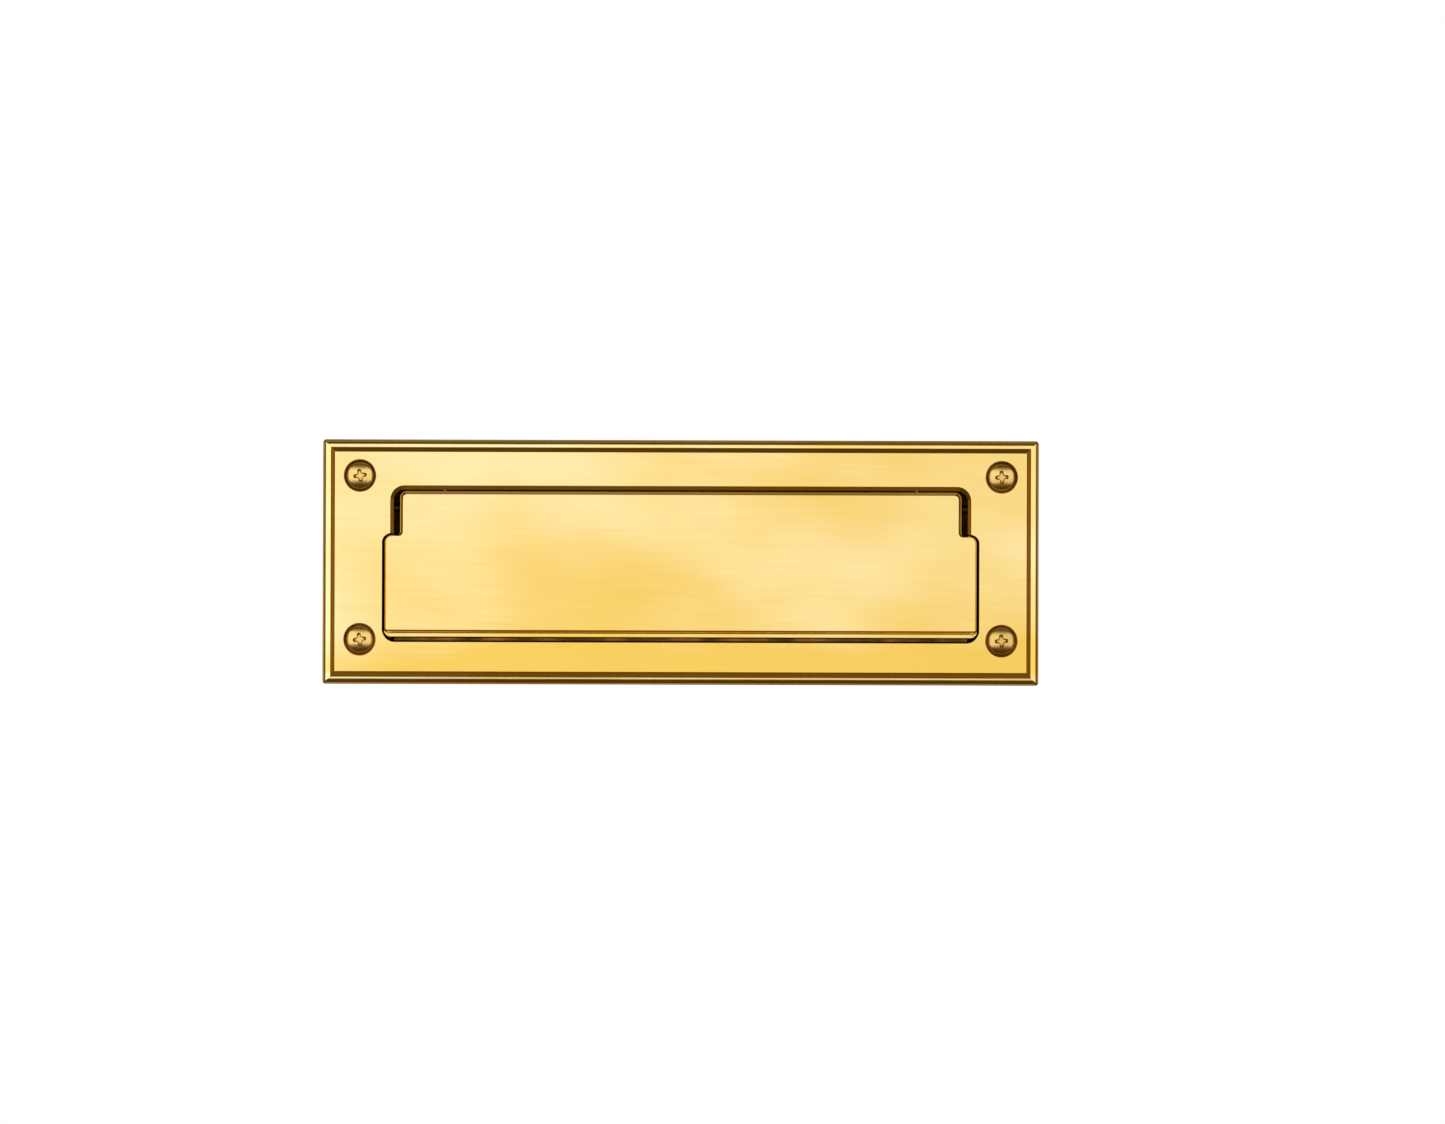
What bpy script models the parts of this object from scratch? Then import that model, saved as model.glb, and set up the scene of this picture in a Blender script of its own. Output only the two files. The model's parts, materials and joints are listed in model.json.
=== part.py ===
"""Door letter plate set: outer brass plate with a push-in flap, a telescoping tunnel through the
door, and an inner frame with a draught flap.

Frame: metres, +Z up, +X to the right seen from the street, +Y into the door and the house.
The origin is the middle of the slot, on the door's outer face (the plane Y = 0).
"""

import math

import bmesh
import bpy
from mathutils import Vector

# ---- outer plate -------------------------------------------------------------------------------
PLATE_WIDTH = 0.2699
PLATE_HEIGHT = 0.0922
PLATE_CORNER = 0.0012
FACE_HEIGHT = 0.0052
# moulded edge above its foot, as (inset from the rim, depth under the face)
EDGE_PROFILE = (
    (0.0000, 0.0028),
    (0.0006, 0.0018),
    (0.0015, 0.0014),
    (0.0029, 0.0012),
    (0.0031, 0.0011),
    (0.0046, 0.0001),
    (0.0049, 0.0000),
)
RIM_WIDTH = 0.0046
WALL = 0.0028
POCKET_HEIGHT = FACE_HEIGHT - WALL
POCKET_CORNER = 0.0015

# ---- slot opening in the plate ----------------------------------------------------------------
SLOT_HALF_LOW = 0.1126
SLOT_HALF_HIGH = 0.1097
SLOT_TOP = 0.0289
SLOT_STEP = 0.0107
SLOT_BOTTOM = -0.03035
SLOT_CORNER_TOP = 0.0056
SLOT_CORNER_STEP = 0.0035
SLOT_CORNER_BOTTOM = 0.0049
SLOT_EDGE = 0.0005
SLOT_LOW_DRAFT = 0.0005
SLOT_HIGH_DRAFT = 0.0015
SLOT_TOP_DRAFT = 0.0017
SLOT_BOTTOM_DRAFT = 0.0011
TINY_RADIUS = 0.0003
OVERSHOOT = 0.0010
# the slot's wall, as (share of the small drafts, share of the large drafts, y)
SLOT_ROUNDING = (
    (0.0, 0.0, -FACE_HEIGHT),
    (0.6, 0.35, -FACE_HEIGHT + SLOT_EDGE * 0.4),
    (1.0, 0.75, -FACE_HEIGHT + SLOT_EDGE * 2.0),
    (1.0, 1.0, -POCKET_HEIGHT + OVERSHOOT),
)

# ---- outer flap --------------------------------------------------------------------------------
GAP = 0.0003
SIDE_GAP = 0.0005
FLAP_SET_BACK = 0.0002
FLAP_THICKNESS = 0.0030
FLAP_FACE_HEIGHT = FACE_HEIGHT - FLAP_SET_BACK
FLAP_BACK_HEIGHT = FLAP_FACE_HEIGHT - FLAP_THICKNESS
FLAP_HALF_LOW = SLOT_HALF_LOW - SLOT_LOW_DRAFT - SIDE_GAP
FLAP_HALF_HIGH = 0.1057
FLAP_TOP = 0.0267
SHOULDER_GAP = 0.0004
FLAP_SHOULDER = SLOT_STEP - SHOULDER_GAP
FLAP_BOTTOM = -0.0286
FLAP_SIDE_ROUND = 0.00045
FLAP_HIGH_ROUND = 0.0013
FLAP_TOP_ROUND = 0.0015
FLAP_CORNER_SHOULDER = 0.0029
FLAP_CORNER_NOTCH = 0.0011
FLAP_CORNER_TOP = 0.0027
FLAP_CORNER_BOTTOM = 0.0021
FLAP_CORNER_STEP = 0.0016
FLAP_STEP_TOP = -0.0256
FLAP_STEP_FOOT = -0.0270
FLAP_STEP_DEPTH = 0.0010
FLAP_LIP_HEIGHT = FLAP_FACE_HEIGHT - FLAP_STEP_DEPTH
FLAP_LIP_ROUND = 0.0004
# the step under the face, as (share of the edge rounding, share of the drop, corner radius)
FLAP_STEP_ROUNDING = (
    (1.0, 0.0, TINY_RADIUS),
    (0.45, 0.2, TINY_RADIUS * 2.0),
    (0.12, 0.5, TINY_RADIUS * 3.0),
)

# ---- hidden stop on the flap -------------------------------------------------------------------
STOP_HALF_WIDTH = 0.1080
STOP_BOTTOM = -0.0334
STOP_ROOT = -0.0245
BUMPER_THICKNESS = 0.0006
STOP_FRONT_HEIGHT = POCKET_HEIGHT - BUMPER_THICKNESS - GAP - GAP
STOP_THICKNESS = 0.0014

# ---- outer hinge and its springs ---------------------------------------------------------------
PIN_RADIUS = 0.0016
WIRE_RADIUS = 0.0005
COIL_CLEARANCE = 0.0012
COIL_RADIUS = PIN_RADIUS + COIL_CLEARANCE + WIRE_RADIUS
COIL_TO_FLAP = 0.0004
OUTER_AXIS_Y = COIL_RADIUS + WIRE_RADIUS + COIL_TO_FLAP - FLAP_BACK_HEIGHT
OUTER_AXIS_Z = 0.0202
LUG_INNER = 0.1085
LUG_OUTER = 0.1121
EAR_WALL = 0.0018
LUG_RADIUS = PIN_RADIUS + EAR_WALL
KNUCKLE_RADIUS = PIN_RADIUS + EAR_WALL
KNUCKLE_INNER = 0.0960
KNUCKLE_OUTER = 0.1045
OUTER_PIN_HALF = 0.1135
CLIP_THICKNESS = 0.0006
CLIP_WALL = 0.0015
CLIP_RADIUS = PIN_RADIUS + CLIP_WALL
CLIP_OPENING = math.radians(80.0)
CLIP_SEGMENTS = 14

COIL_START = 0.0790
COIL_LENGTH = 0.0100
COIL_TURNS = 6
COIL_STEPS = 12
WIRE_SIDES = 6
LEG_DOWN = 0.0120
LEG_UP = 0.0100

# ---- screws, bosses and posts -----------------------------------------------------------------
SCREW_X = 0.1209
SCREW_TOP = 0.0324
SCREW_BOTTOM = -0.0293
COUNTERSINK_RADIUS = 0.0060
CONE_HALF_ANGLE = math.radians(41.0)
HEAD_RADIUS = 0.0052
HEAD_SUNK = 0.0006
HEAD_RIM_HEIGHT = FACE_HEIGHT - HEAD_SUNK
HEAD_DOME = 0.0012
SHANK_RADIUS = 0.0024
SCREW_TIP = 0.0420
SCREW_POINT = 0.0008
BOSS_RADIUS = 0.0046
CROSS_LENGTH = 0.0053
CROSS_WIDTH = 0.0013
CROSS_DEPTH = 0.0024
CROSS_TAPER = 0.35
CROSS_TURN_LEFT = math.radians(9.0)
CROSS_TURN_RIGHT = math.radians(4.0)
POST_RADIUS = 0.0040
POST_START = 0.0205
POST_WALL = 0.0020
POST_SOCKET = 0.0024

# ---- door, tunnel and gasket -------------------------------------------------------------------
DOOR_THICKNESS = 0.0445
SHEET = 0.0008
TUNNEL_HALF = 0.1128
TUNNEL_TOP = 0.0310
TUNNEL_BOTTOM = -0.0344
TUNNEL_CORNER = 0.0020
SLEEVE_OUTER_END = 0.0340
SLEEVE_INNER_START = 0.0120
FLANGE_SIDE = 0.0012
FLANGE_TOP = 0.0030
FLANGE_BOTTOM = 0.0009
GASKET_INSET = RIM_WIDTH + GAP
GASKET_THICKNESS = POCKET_HEIGHT - SHEET - GAP - GAP
GASKET_HALF = 0.1135
GASKET_TOP = 0.0316
GASKET_BOTTOM = -0.0350

# ---- bumpers -----------------------------------------------------------------------------------
BUMPER_RADIUS = 0.0022
BUMPER_X = 0.0600
BUMPER_Z = -0.0320
INNER_BUMPER_X = 0.1150
INNER_BUMPER_Z = -0.0362
INNER_BUMPER_THICKNESS = 0.0014

# ---- inner frame and flap ----------------------------------------------------------------------
FRAME_THICKNESS = 0.0040
FRAME_ROUND = 0.0012
FRAME_CORNER = 0.0030
INNER_HALF = 0.1125
INNER_TOP = 0.0225
INNER_BOTTOM = -0.0339
INNER_CORNER = 0.0030
INNER_EDGE = 0.0006
REBATE_DEPTH = 0.0012
REBATE_SIDE = 0.0016
REBATE_END = 0.0022
INNER_FLAP_GAP = 0.0020
INNER_FLAP_THICKNESS = 0.0020
INNER_FLAP_HALF = 0.1178
INNER_FLAP_TOP = 0.0255
INNER_FLAP_BOTTOM = -0.0388
INNER_FLAP_CORNER = 0.0040
INNER_FLAP_ROUND = 0.0007
INNER_FLAP_EASE = 0.0003
INNER_AXIS_Z = 0.0300
INNER_AXIS_STAND_OFF = 0.0026
INNER_LUG_INNER = 0.1040
INNER_LUG_OUTER = 0.1080
INNER_KNUCKLE_INNER = 0.0975
INNER_KNUCKLE_OUTER = 0.1037
INNER_HINGE_RADIUS = 0.0023
INNER_PIN_RADIUS = 0.0012
INNER_CLIP_RADIUS = 0.0022
INNER_PIN_HALF = 0.1095
ARM_FOOT = 0.0150

# ---- mesh fineness -----------------------------------------------------------------------------
# how far in from the corner the middle of a two-step rounding lies, as a share of its radius
ROUND_MIDDLE = 0.3
CORNER_STEPS = 4
ROUND_SIDES = 24
SCREW_SIDES = 24
DOME_STEPS = 3
BITE = 0.0002
SMOOTH_ANGLE = math.radians(38.0)

FRAME_BACK_Y = DOOR_THICKNESS
FRAME_FRONT_Y = DOOR_THICKNESS + FRAME_THICKNESS
# the frame's rounded outer edge, as (inset, y)
FRAME_EDGE = (
    (0.0, FRAME_BACK_Y),
    (0.0, FRAME_FRONT_Y - FRAME_ROUND),
    (FRAME_ROUND * ROUND_MIDDLE, FRAME_FRONT_Y - FRAME_ROUND * ROUND_MIDDLE),
    (FRAME_ROUND, FRAME_FRONT_Y),
)
INNER_AXIS_Y = FRAME_FRONT_Y + INNER_AXIS_STAND_OFF
OUTER_AXIS = (0.0, OUTER_AXIS_Y, OUTER_AXIS_Z)
INNER_AXIS = (0.0, INNER_AXIS_Y, INNER_AXIS_Z)
SCREW_PLACES = (
    ("left_top", -SCREW_X, SCREW_TOP),
    ("right_top", SCREW_X, SCREW_TOP),
    ("left_bottom", -SCREW_X, SCREW_BOTTOM),
    ("right_bottom", SCREW_X, SCREW_BOTTOM),
)

# colour, metallic, roughness
FINISHES = {
    "polished_brass": ((0.80, 0.55, 0.19), 1.0, 0.18),
    "screw_brass": ((0.62, 0.48, 0.22), 1.0, 0.25),
    "spring_steel": ((0.45, 0.45, 0.46), 1.0, 0.30),
    "pin_steel": ((0.30, 0.30, 0.31), 1.0, 0.35),
    "anodised_sleeve": ((0.55, 0.55, 0.56), 1.0, 0.40),
    "foam": ((0.05, 0.05, 0.055), 0.0, 0.95),
    "rubber": ((0.03, 0.03, 0.03), 0.0, 0.80),
}


# ---- helpers -----------------------------------------------------------------------------------
def clear_scene():
    for item in list(bpy.data.objects):
        bpy.data.objects.remove(item, do_unlink=True)


def finish(name):
    """The material of one finish, made once."""
    found = bpy.data.materials.get(name)
    if found:
        return found
    colour, metallic, roughness = FINISHES[name]
    made = bpy.data.materials.new(name)
    made.use_nodes = True
    shader = made.node_tree.nodes["Principled BSDF"]
    shader.inputs["Base Color"].default_value = (*colour, 1.0)
    shader.inputs["Metallic"].default_value = metallic
    shader.inputs["Roughness"].default_value = roughness
    return made


def place(name, mesh_data, finish_name, origin=(0.0, 0.0, 0.0)):
    """An object from a bmesh in frame coordinates, with its own origin at `origin`."""
    bmesh.ops.remove_doubles(mesh_data, verts=mesh_data.verts, dist=1e-7)
    bmesh.ops.recalc_face_normals(mesh_data, faces=mesh_data.faces)
    bmesh.ops.translate(mesh_data, verts=mesh_data.verts, vec=-Vector(origin))
    mesh = bpy.data.meshes.new(name)
    mesh_data.to_mesh(mesh)
    mesh_data.free()
    made = bpy.data.objects.new(name, mesh)
    made.location = origin
    bpy.context.scene.collection.objects.link(made)
    if finish_name:
        mesh.materials.append(finish(finish_name))
    mesh.shade_smooth()
    mesh.set_sharp_from_angle(angle=SMOOTH_ANGLE)
    return made


def combine(target, tool, operation):
    """Cuts or joins `tool` into `target` with a modifier that stays editable."""
    step = target.modifiers.new(tool.name, "BOOLEAN")
    step.operation = operation
    step.solver = "EXACT"
    step.object = tool
    tool.hide_render = True
    tool.display_type = "WIRE"


def outline(corners, steps=CORNER_STEPS):
    """Closed outline in X and Z from right-angled corners (x, z, radius)."""
    points = []
    count = len(corners)
    for index, (x, z, radius) in enumerate(corners):
        here = Vector((x, z))
        before = (Vector(corners[index - 1][:2]) - here).normalized()
        after = (Vector(corners[(index + 1) % count][:2]) - here).normalized()
        centre = here + (before + after) * radius
        for step in range(steps + 1):
            turn = math.pi / 2.0 * step / steps
            arc = after * math.cos(turn) + before * math.sin(turn)
            points.append(centre - arc * radius)
    return points


def rectangle(half, top, bottom, radius, steps=CORNER_STEPS):
    low = ((-half, bottom, radius), (half, bottom, radius))
    high = ((half, top, radius), (-half, top, radius))
    return outline(low + high, steps)


def join_rows(mesh_data, rows):
    for row, following in zip(rows, rows[1:]):
        for index in range(len(row)):
            other = (index + 1) % len(row)
            mesh_data.faces.new((row[index], row[other], following[other], following[index]))


def loft(mesh_data, rings, capped=True):
    """Joins rings of (outline, y); capped at both ends, or closed on itself like a tube's wall."""
    rows = [[mesh_data.verts.new((p[0], y, p[1])) for p in points] for points, y in rings]
    join_rows(mesh_data, rows)
    if capped:
        mesh_data.faces.new(rows[0])
        mesh_data.faces.new(rows[-1])
    else:
        join_rows(mesh_data, (rows[-1], rows[0]))
    return mesh_data


def circle(x, z, radius, sides=ROUND_SIDES):
    turns = [2.0 * math.pi * side / sides for side in range(sides)]
    return [(x + radius * math.cos(turn), z + radius * math.sin(turn)) for turn in turns]


def turned(mesh_data, x, z, profile, sides=SCREW_SIDES):
    """A turned body along Y through (x, z), from (radius, y) pairs."""
    return loft(mesh_data, [(circle(x, z, radius, sides), y) for radius, y in profile])


def rod(mesh_data, start, end, y, z, radius, sides=ROUND_SIDES):
    """A round bar along X."""
    turns = [2.0 * math.pi * side / sides for side in range(sides)]
    section = [(y + radius * math.cos(turn), z + radius * math.sin(turn)) for turn in turns]
    return prism(mesh_data, start, end, section)


def prism(mesh_data, start, end, section):
    """A section of (y, z) points drawn out along X."""
    rows = [[mesh_data.verts.new((x, y, z)) for y, z in section] for x in (start, end)]
    join_rows(mesh_data, rows)
    mesh_data.faces.new(rows[0])
    mesh_data.faces.new(rows[1])
    return mesh_data


def ear_section(axis_y, axis_z, radius, root_y):
    """Section of a hinge ear: round about the axis, flat sides back to the wall it stands on."""
    side = 1.0 if root_y < axis_y else -1.0
    half = ROUND_SIDES // 2
    points = []
    for step in range(half + 1):
        turn = math.pi / 2.0 - math.pi * step / half
        points.append((axis_y + side * radius * math.cos(turn), axis_z + radius * math.sin(turn)))
    points.append((root_y, axis_z - radius))
    points.append((root_y, axis_z + radius))
    return points


# ---- outlines that change with depth -----------------------------------------------------------
def slot_outline(low_draft, high_draft, top_draft, bottom_draft):
    """Slot outline with each wall drawn in by its draft."""
    low = SLOT_HALF_LOW - low_draft
    high = SLOT_HALF_HIGH - high_draft
    top = SLOT_TOP - top_draft
    bottom = SLOT_BOTTOM + bottom_draft
    return outline((
        (-low, bottom, SLOT_CORNER_BOTTOM - bottom_draft),
        (low, bottom, SLOT_CORNER_BOTTOM - bottom_draft),
        (low, SLOT_STEP, SLOT_CORNER_STEP - low_draft),
        (high, SLOT_STEP, TINY_RADIUS),
        (high, top, SLOT_CORNER_TOP - high_draft),
        (-high, top, SLOT_CORNER_TOP - high_draft),
        (-high, SLOT_STEP, TINY_RADIUS),
        (-low, SLOT_STEP, SLOT_CORNER_STEP - low_draft),
    ))


def flap_outline(share, bottom, bottom_corner):
    """Flap outline drawn in by `share` of the edge rounding."""
    low = FLAP_HALF_LOW - FLAP_SIDE_ROUND * share
    high = FLAP_HALF_HIGH - FLAP_HIGH_ROUND * share
    top = FLAP_TOP - FLAP_TOP_ROUND * share
    shoulder = FLAP_SHOULDER - FLAP_SIDE_ROUND * share
    top_corner = FLAP_CORNER_TOP - FLAP_HIGH_ROUND * share
    notch = FLAP_CORNER_NOTCH + FLAP_SIDE_ROUND * share
    return outline((
        (-low, bottom, bottom_corner),
        (low, bottom, bottom_corner),
        (low, shoulder, FLAP_CORNER_SHOULDER - FLAP_SIDE_ROUND * share),
        (high, shoulder, notch),
        (high, top, top_corner),
        (-high, top, top_corner),
        (-high, shoulder, notch),
        (-low, shoulder, FLAP_CORNER_SHOULDER - FLAP_SIDE_ROUND * share),
    ))


# ---- the pieces --------------------------------------------------------------------------------
def outer_plate():
    half = PLATE_WIDTH / 2.0
    rise = PLATE_HEIGHT / 2.0
    pocket = rectangle(half - RIM_WIDTH, rise - RIM_WIDTH, RIM_WIDTH - rise, POCKET_CORNER)
    rings = [(pocket, -POCKET_HEIGHT), (pocket, 0.0)]
    rings.append((rectangle(half, rise, -rise, PLATE_CORNER), 0.0))
    for inset, depth in EDGE_PROFILE:
        radius = max(PLATE_CORNER - inset, TINY_RADIUS)
        ring = rectangle(half - inset, rise - inset, inset - rise, radius)
        rings.append((ring, depth - FACE_HEIGHT))
    plate = place("outer_plate", loft(bmesh.new(), rings), "polished_brass")

    added = bmesh.new()
    for _, x, z in SCREW_PLACES:
        turned(added, x, z, ((BOSS_RADIUS, -POCKET_HEIGHT - BITE), (BOSS_RADIUS, 0.0)))
    for side in (-1.0, 1.0):
        ear = ear_section(OUTER_AXIS_Y, OUTER_AXIS_Z, LUG_RADIUS, -POCKET_HEIGHT - BITE)
        prism(added, side * LUG_INNER, side * LUG_OUTER, ear)
    combine(plate, place("cut_plate_added", added, None), "UNION")

    front = slot_outline(-OVERSHOOT, -OVERSHOOT, -OVERSHOOT, -OVERSHOOT)
    rings = [(front, -FACE_HEIGHT - OVERSHOOT)]
    for near, far, y in SLOT_ROUNDING:
        wide = (SLOT_HIGH_DRAFT * far, SLOT_TOP_DRAFT * far)
        rings.append((slot_outline(SLOT_LOW_DRAFT * near, *wide, SLOT_BOTTOM_DRAFT * near), y))
    opening = loft(bmesh.new(), rings)
    combine(plate, place("cut_plate_slot", opening, None), "DIFFERENCE")

    holes = bmesh.new()
    bore = SHANK_RADIUS + GAP
    sink = (COUNTERSINK_RADIUS - bore) / math.tan(CONE_HALF_ANGLE)
    flare = COUNTERSINK_RADIUS + OVERSHOOT * math.tan(CONE_HALF_ANGLE)
    for _, x, z in SCREW_PLACES:
        turned(holes, x, z, (
            (flare, -FACE_HEIGHT - OVERSHOOT),
            (bore, -FACE_HEIGHT + sink),
            (bore, OVERSHOOT),
        ))
    for side in (-1.0, 1.0):
        rod(holes, side * (LUG_INNER - OVERSHOOT), side * (LUG_OUTER + OVERSHOOT),
            OUTER_AXIS_Y, OUTER_AXIS_Z, PIN_RADIUS + GAP)
    combine(plate, place("cut_plate_holes", holes, None), "DIFFERENCE")
    return plate


def outer_flap():
    back = FLAP_BACK_HEIGHT
    span = FLAP_STEP_TOP - FLAP_STEP_FOOT
    rings = []
    for share, drop, corner in FLAP_STEP_ROUNDING:
        ring = flap_outline(share, FLAP_STEP_TOP - span * drop, corner)
        rings.append((ring, -FLAP_FACE_HEIGHT + FLAP_STEP_DEPTH * drop))
    foot = flap_outline(0.0, FLAP_BOTTOM, FLAP_CORNER_BOTTOM + FLAP_LIP_ROUND)
    rings += [
        (flap_outline(0.0, FLAP_STEP_FOOT, FLAP_CORNER_STEP), -FLAP_LIP_HEIGHT - BITE / 2.0),
        (flap_outline(0.0, FLAP_BOTTOM + FLAP_LIP_ROUND, FLAP_CORNER_BOTTOM), -FLAP_LIP_HEIGHT),
        (foot, -FLAP_LIP_HEIGHT + FLAP_LIP_ROUND),
        (foot, -back),
    ]
    flap = place("outer_flap", loft(bmesh.new(), rings), "polished_brass", OUTER_AXIS)

    added = bmesh.new()
    front = -STOP_FRONT_HEIGHT
    rear = front + STOP_THICKNESS
    shelf = FLAP_BOTTOM + BITE
    prism(added, -STOP_HALF_WIDTH, STOP_HALF_WIDTH, (
        (-back - BITE, STOP_ROOT),
        (rear, STOP_ROOT),
        (rear, STOP_BOTTOM),
        (front, STOP_BOTTOM),
        (front, shelf),
        (-back - BITE, shelf),
    ))
    for side in (-1.0, 1.0):
        ear = ear_section(OUTER_AXIS_Y, OUTER_AXIS_Z, KNUCKLE_RADIUS, -back - BITE)
        prism(added, side * KNUCKLE_INNER, side * KNUCKLE_OUTER, ear)
    combine(flap, place("cut_flap_added", added, None), "UNION")

    holes = bmesh.new()
    for side in (-1.0, 1.0):
        rod(holes, side * (KNUCKLE_INNER - OVERSHOOT), side * (KNUCKLE_OUTER + OVERSHOOT),
            OUTER_AXIS_Y, OUTER_AXIS_Z, PIN_RADIUS + GAP)
    combine(flap, place("cut_flap_holes", holes, None), "DIFFERENCE")
    return flap


def plate_screw(name, x, z):
    cone_end = -HEAD_RIM_HEIGHT + (HEAD_RADIUS - SHANK_RADIUS) / math.tan(CONE_HALF_ANGLE)
    profile = []
    for step in range(DOME_STEPS + 1):
        share = (step + 0.5) / (DOME_STEPS + 0.5)
        radius = HEAD_RADIUS * share
        profile.append((radius, -HEAD_RIM_HEIGHT - HEAD_DOME * (1.0 - share * share)))
    profile += [
        (SHANK_RADIUS, cone_end),
        (SHANK_RADIUS, SCREW_TIP - SCREW_POINT),
        (SHANK_RADIUS - SCREW_POINT, SCREW_TIP),
    ]
    screw = place(name, turned(bmesh.new(), x, z, profile), "screw_brass", (x, 0.0, z))
    cross = bmesh.new()
    top = -HEAD_RIM_HEIGHT - HEAD_DOME - OVERSHOOT
    foot = -HEAD_RIM_HEIGHT - HEAD_DOME + CROSS_DEPTH
    for quarter in range(2):
        turn = (CROSS_TURN_LEFT if x < 0.0 else CROSS_TURN_RIGHT) + quarter * math.pi / 2.0
        along = Vector((math.cos(turn), math.sin(turn)))
        across = Vector((-math.sin(turn), math.cos(turn)))
        rows = []
        for y, scale in ((top, 1.0), (foot, CROSS_TAPER)):
            half_long = along * CROSS_LENGTH / 2.0 * scale
            half_wide = across * CROSS_WIDTH / 2.0 * (scale + 1.0) / 2.0
            near = (-half_long - half_wide, half_long - half_wide)
            far = (half_long + half_wide, half_wide - half_long)
            rows.append(([(x + c.x, z + c.y) for c in near + far], y))
        arm = loft(bmesh.new(), rows)
        tool = place(f"cut_{name}_{quarter}", arm, None)
        combine(screw, tool, "DIFFERENCE")
    return screw


def hinge_pin(name, half, radius, axis):
    return place(name, rod(bmesh.new(), -half, half, axis[1], axis[2], radius), "pin_steel", axis)


def pin_clip(name, start, side, pin_radius, clip_radius, axis):
    """An open ring that snaps on behind a hinge ear."""
    inner = pin_radius + GAP
    made = bmesh.new()
    rows = []
    sweep = 2.0 * math.pi - CLIP_OPENING
    for step in range(CLIP_SEGMENTS + 1):
        turn = math.pi / 2.0 + CLIP_OPENING / 2.0 + sweep * step / CLIP_SEGMENTS
        row = []
        end = start + side * CLIP_THICKNESS
        for x, radius in ((start, inner), (start, clip_radius), (end, clip_radius), (end, inner)):
            y = axis[1] + radius * math.cos(turn)
            z = axis[2] + radius * math.sin(turn)
            row.append(made.verts.new((x, y, z)))
        rows.append(row)
    join_rows(made, rows)
    made.faces.new(rows[0])
    made.faces.new(rows[-1])
    return place(name, made, "spring_steel", axis)


def torsion_spring(name, side):
    """A wire coil round the hinge pin, one leg down the flap and one leg up the plate."""
    centres = []
    total = COIL_TURNS * COIL_STEPS
    front = Vector((0.0, -COIL_RADIUS, 0.0))
    axis = Vector(OUTER_AXIS)
    start = Vector((side * COIL_START, 0.0, 0.0))
    centres.append(axis + start + front - Vector((0.0, 0.0, LEG_DOWN)))
    for step in range(total + 1):
        turn = math.pi + 2.0 * math.pi * step / COIL_STEPS
        swing = Vector((0.0, COIL_RADIUS * math.cos(turn), -COIL_RADIUS * math.sin(turn)))
        centres.append(axis + start + Vector((side * COIL_LENGTH * step / total, 0.0, 0.0)) + swing)
    centres.append(centres[-1] + Vector((0.0, 0.0, LEG_UP)))
    made = bmesh.new()
    rows = []
    sideways = Vector((1.0, 0.0, 0.0))
    for index, centre in enumerate(centres):
        before = centres[max(index - 1, 0)]
        after = centres[min(index + 1, len(centres) - 1)]
        along = (after - before).normalized()
        normal = along.cross(sideways).normalized()
        other = along.cross(normal).normalized()
        row = []
        for k in range(WIRE_SIDES):
            turn = 2.0 * math.pi * k / WIRE_SIDES
            around = normal * math.cos(turn) + other * math.sin(turn)
            row.append(made.verts.new(centre + around * WIRE_RADIUS))
        rows.append(row)
    join_rows(made, rows)
    made.faces.new(rows[0])
    made.faces.new(rows[-1])
    return place(name, made, "spring_steel", OUTER_AXIS)


def gasket():
    half = PLATE_WIDTH / 2.0 - GASKET_INSET
    rise = PLATE_HEIGHT / 2.0 - GASKET_INSET
    front = -POCKET_HEIGHT + GAP
    outer = rectangle(half, rise, -rise, POCKET_CORNER)
    inner = rectangle(GASKET_HALF, GASKET_TOP, GASKET_BOTTOM, POCKET_CORNER)
    rear = front + GASKET_THICKNESS
    rings = [(outer, front), (outer, rear), (inner, rear), (inner, front)]
    seal = place("foam_gasket", loft(bmesh.new(), rings, capped=False), "foam")
    holes = bmesh.new()
    for _, x, z in SCREW_PLACES:
        turned(holes, x, z, ((BOSS_RADIUS + GAP, front - OVERSHOOT), (BOSS_RADIUS + GAP, OVERSHOOT)))
    combine(seal, place("cut_gasket_holes", holes, None), "DIFFERENCE")
    return seal


def tunnel_ring(spread):
    top = TUNNEL_TOP + spread
    bottom = TUNNEL_BOTTOM - spread
    return rectangle(TUNNEL_HALF + spread, top, bottom, TUNNEL_CORNER + spread)


def sleeve_outer():
    inside = SHEET + GAP
    outside = inside + SHEET
    flange = rectangle(TUNNEL_HALF + outside + FLANGE_SIDE, TUNNEL_TOP + outside + FLANGE_TOP,
                       TUNNEL_BOTTOM - outside - FLANGE_BOTTOM, TUNNEL_CORNER + outside)
    rings = [
        (tunnel_ring(inside), -SHEET),
        (flange, -SHEET),
        (flange, 0.0),
        (tunnel_ring(outside), 0.0),
        (tunnel_ring(outside), SLEEVE_OUTER_END),
        (tunnel_ring(inside), SLEEVE_OUTER_END),
    ]
    return place("sleeve_outer", loft(bmesh.new(), rings, capped=False), "anodised_sleeve")


def sleeve_inner():
    flange = rectangle(TUNNEL_HALF + SHEET + REBATE_SIDE, TUNNEL_TOP + SHEET + REBATE_END,
                       TUNNEL_BOTTOM - SHEET - REBATE_END, TUNNEL_CORNER)
    rear = FRAME_BACK_Y + REBATE_DEPTH - GAP
    rings = [
        (tunnel_ring(0.0), SLEEVE_INNER_START),
        (tunnel_ring(SHEET), SLEEVE_INNER_START),
        (tunnel_ring(SHEET), rear - SHEET),
        (flange, rear - SHEET),
        (flange, rear),
        (tunnel_ring(0.0), rear),
    ]
    return place("sleeve_inner", loft(bmesh.new(), rings, capped=False), "anodised_sleeve")


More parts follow.
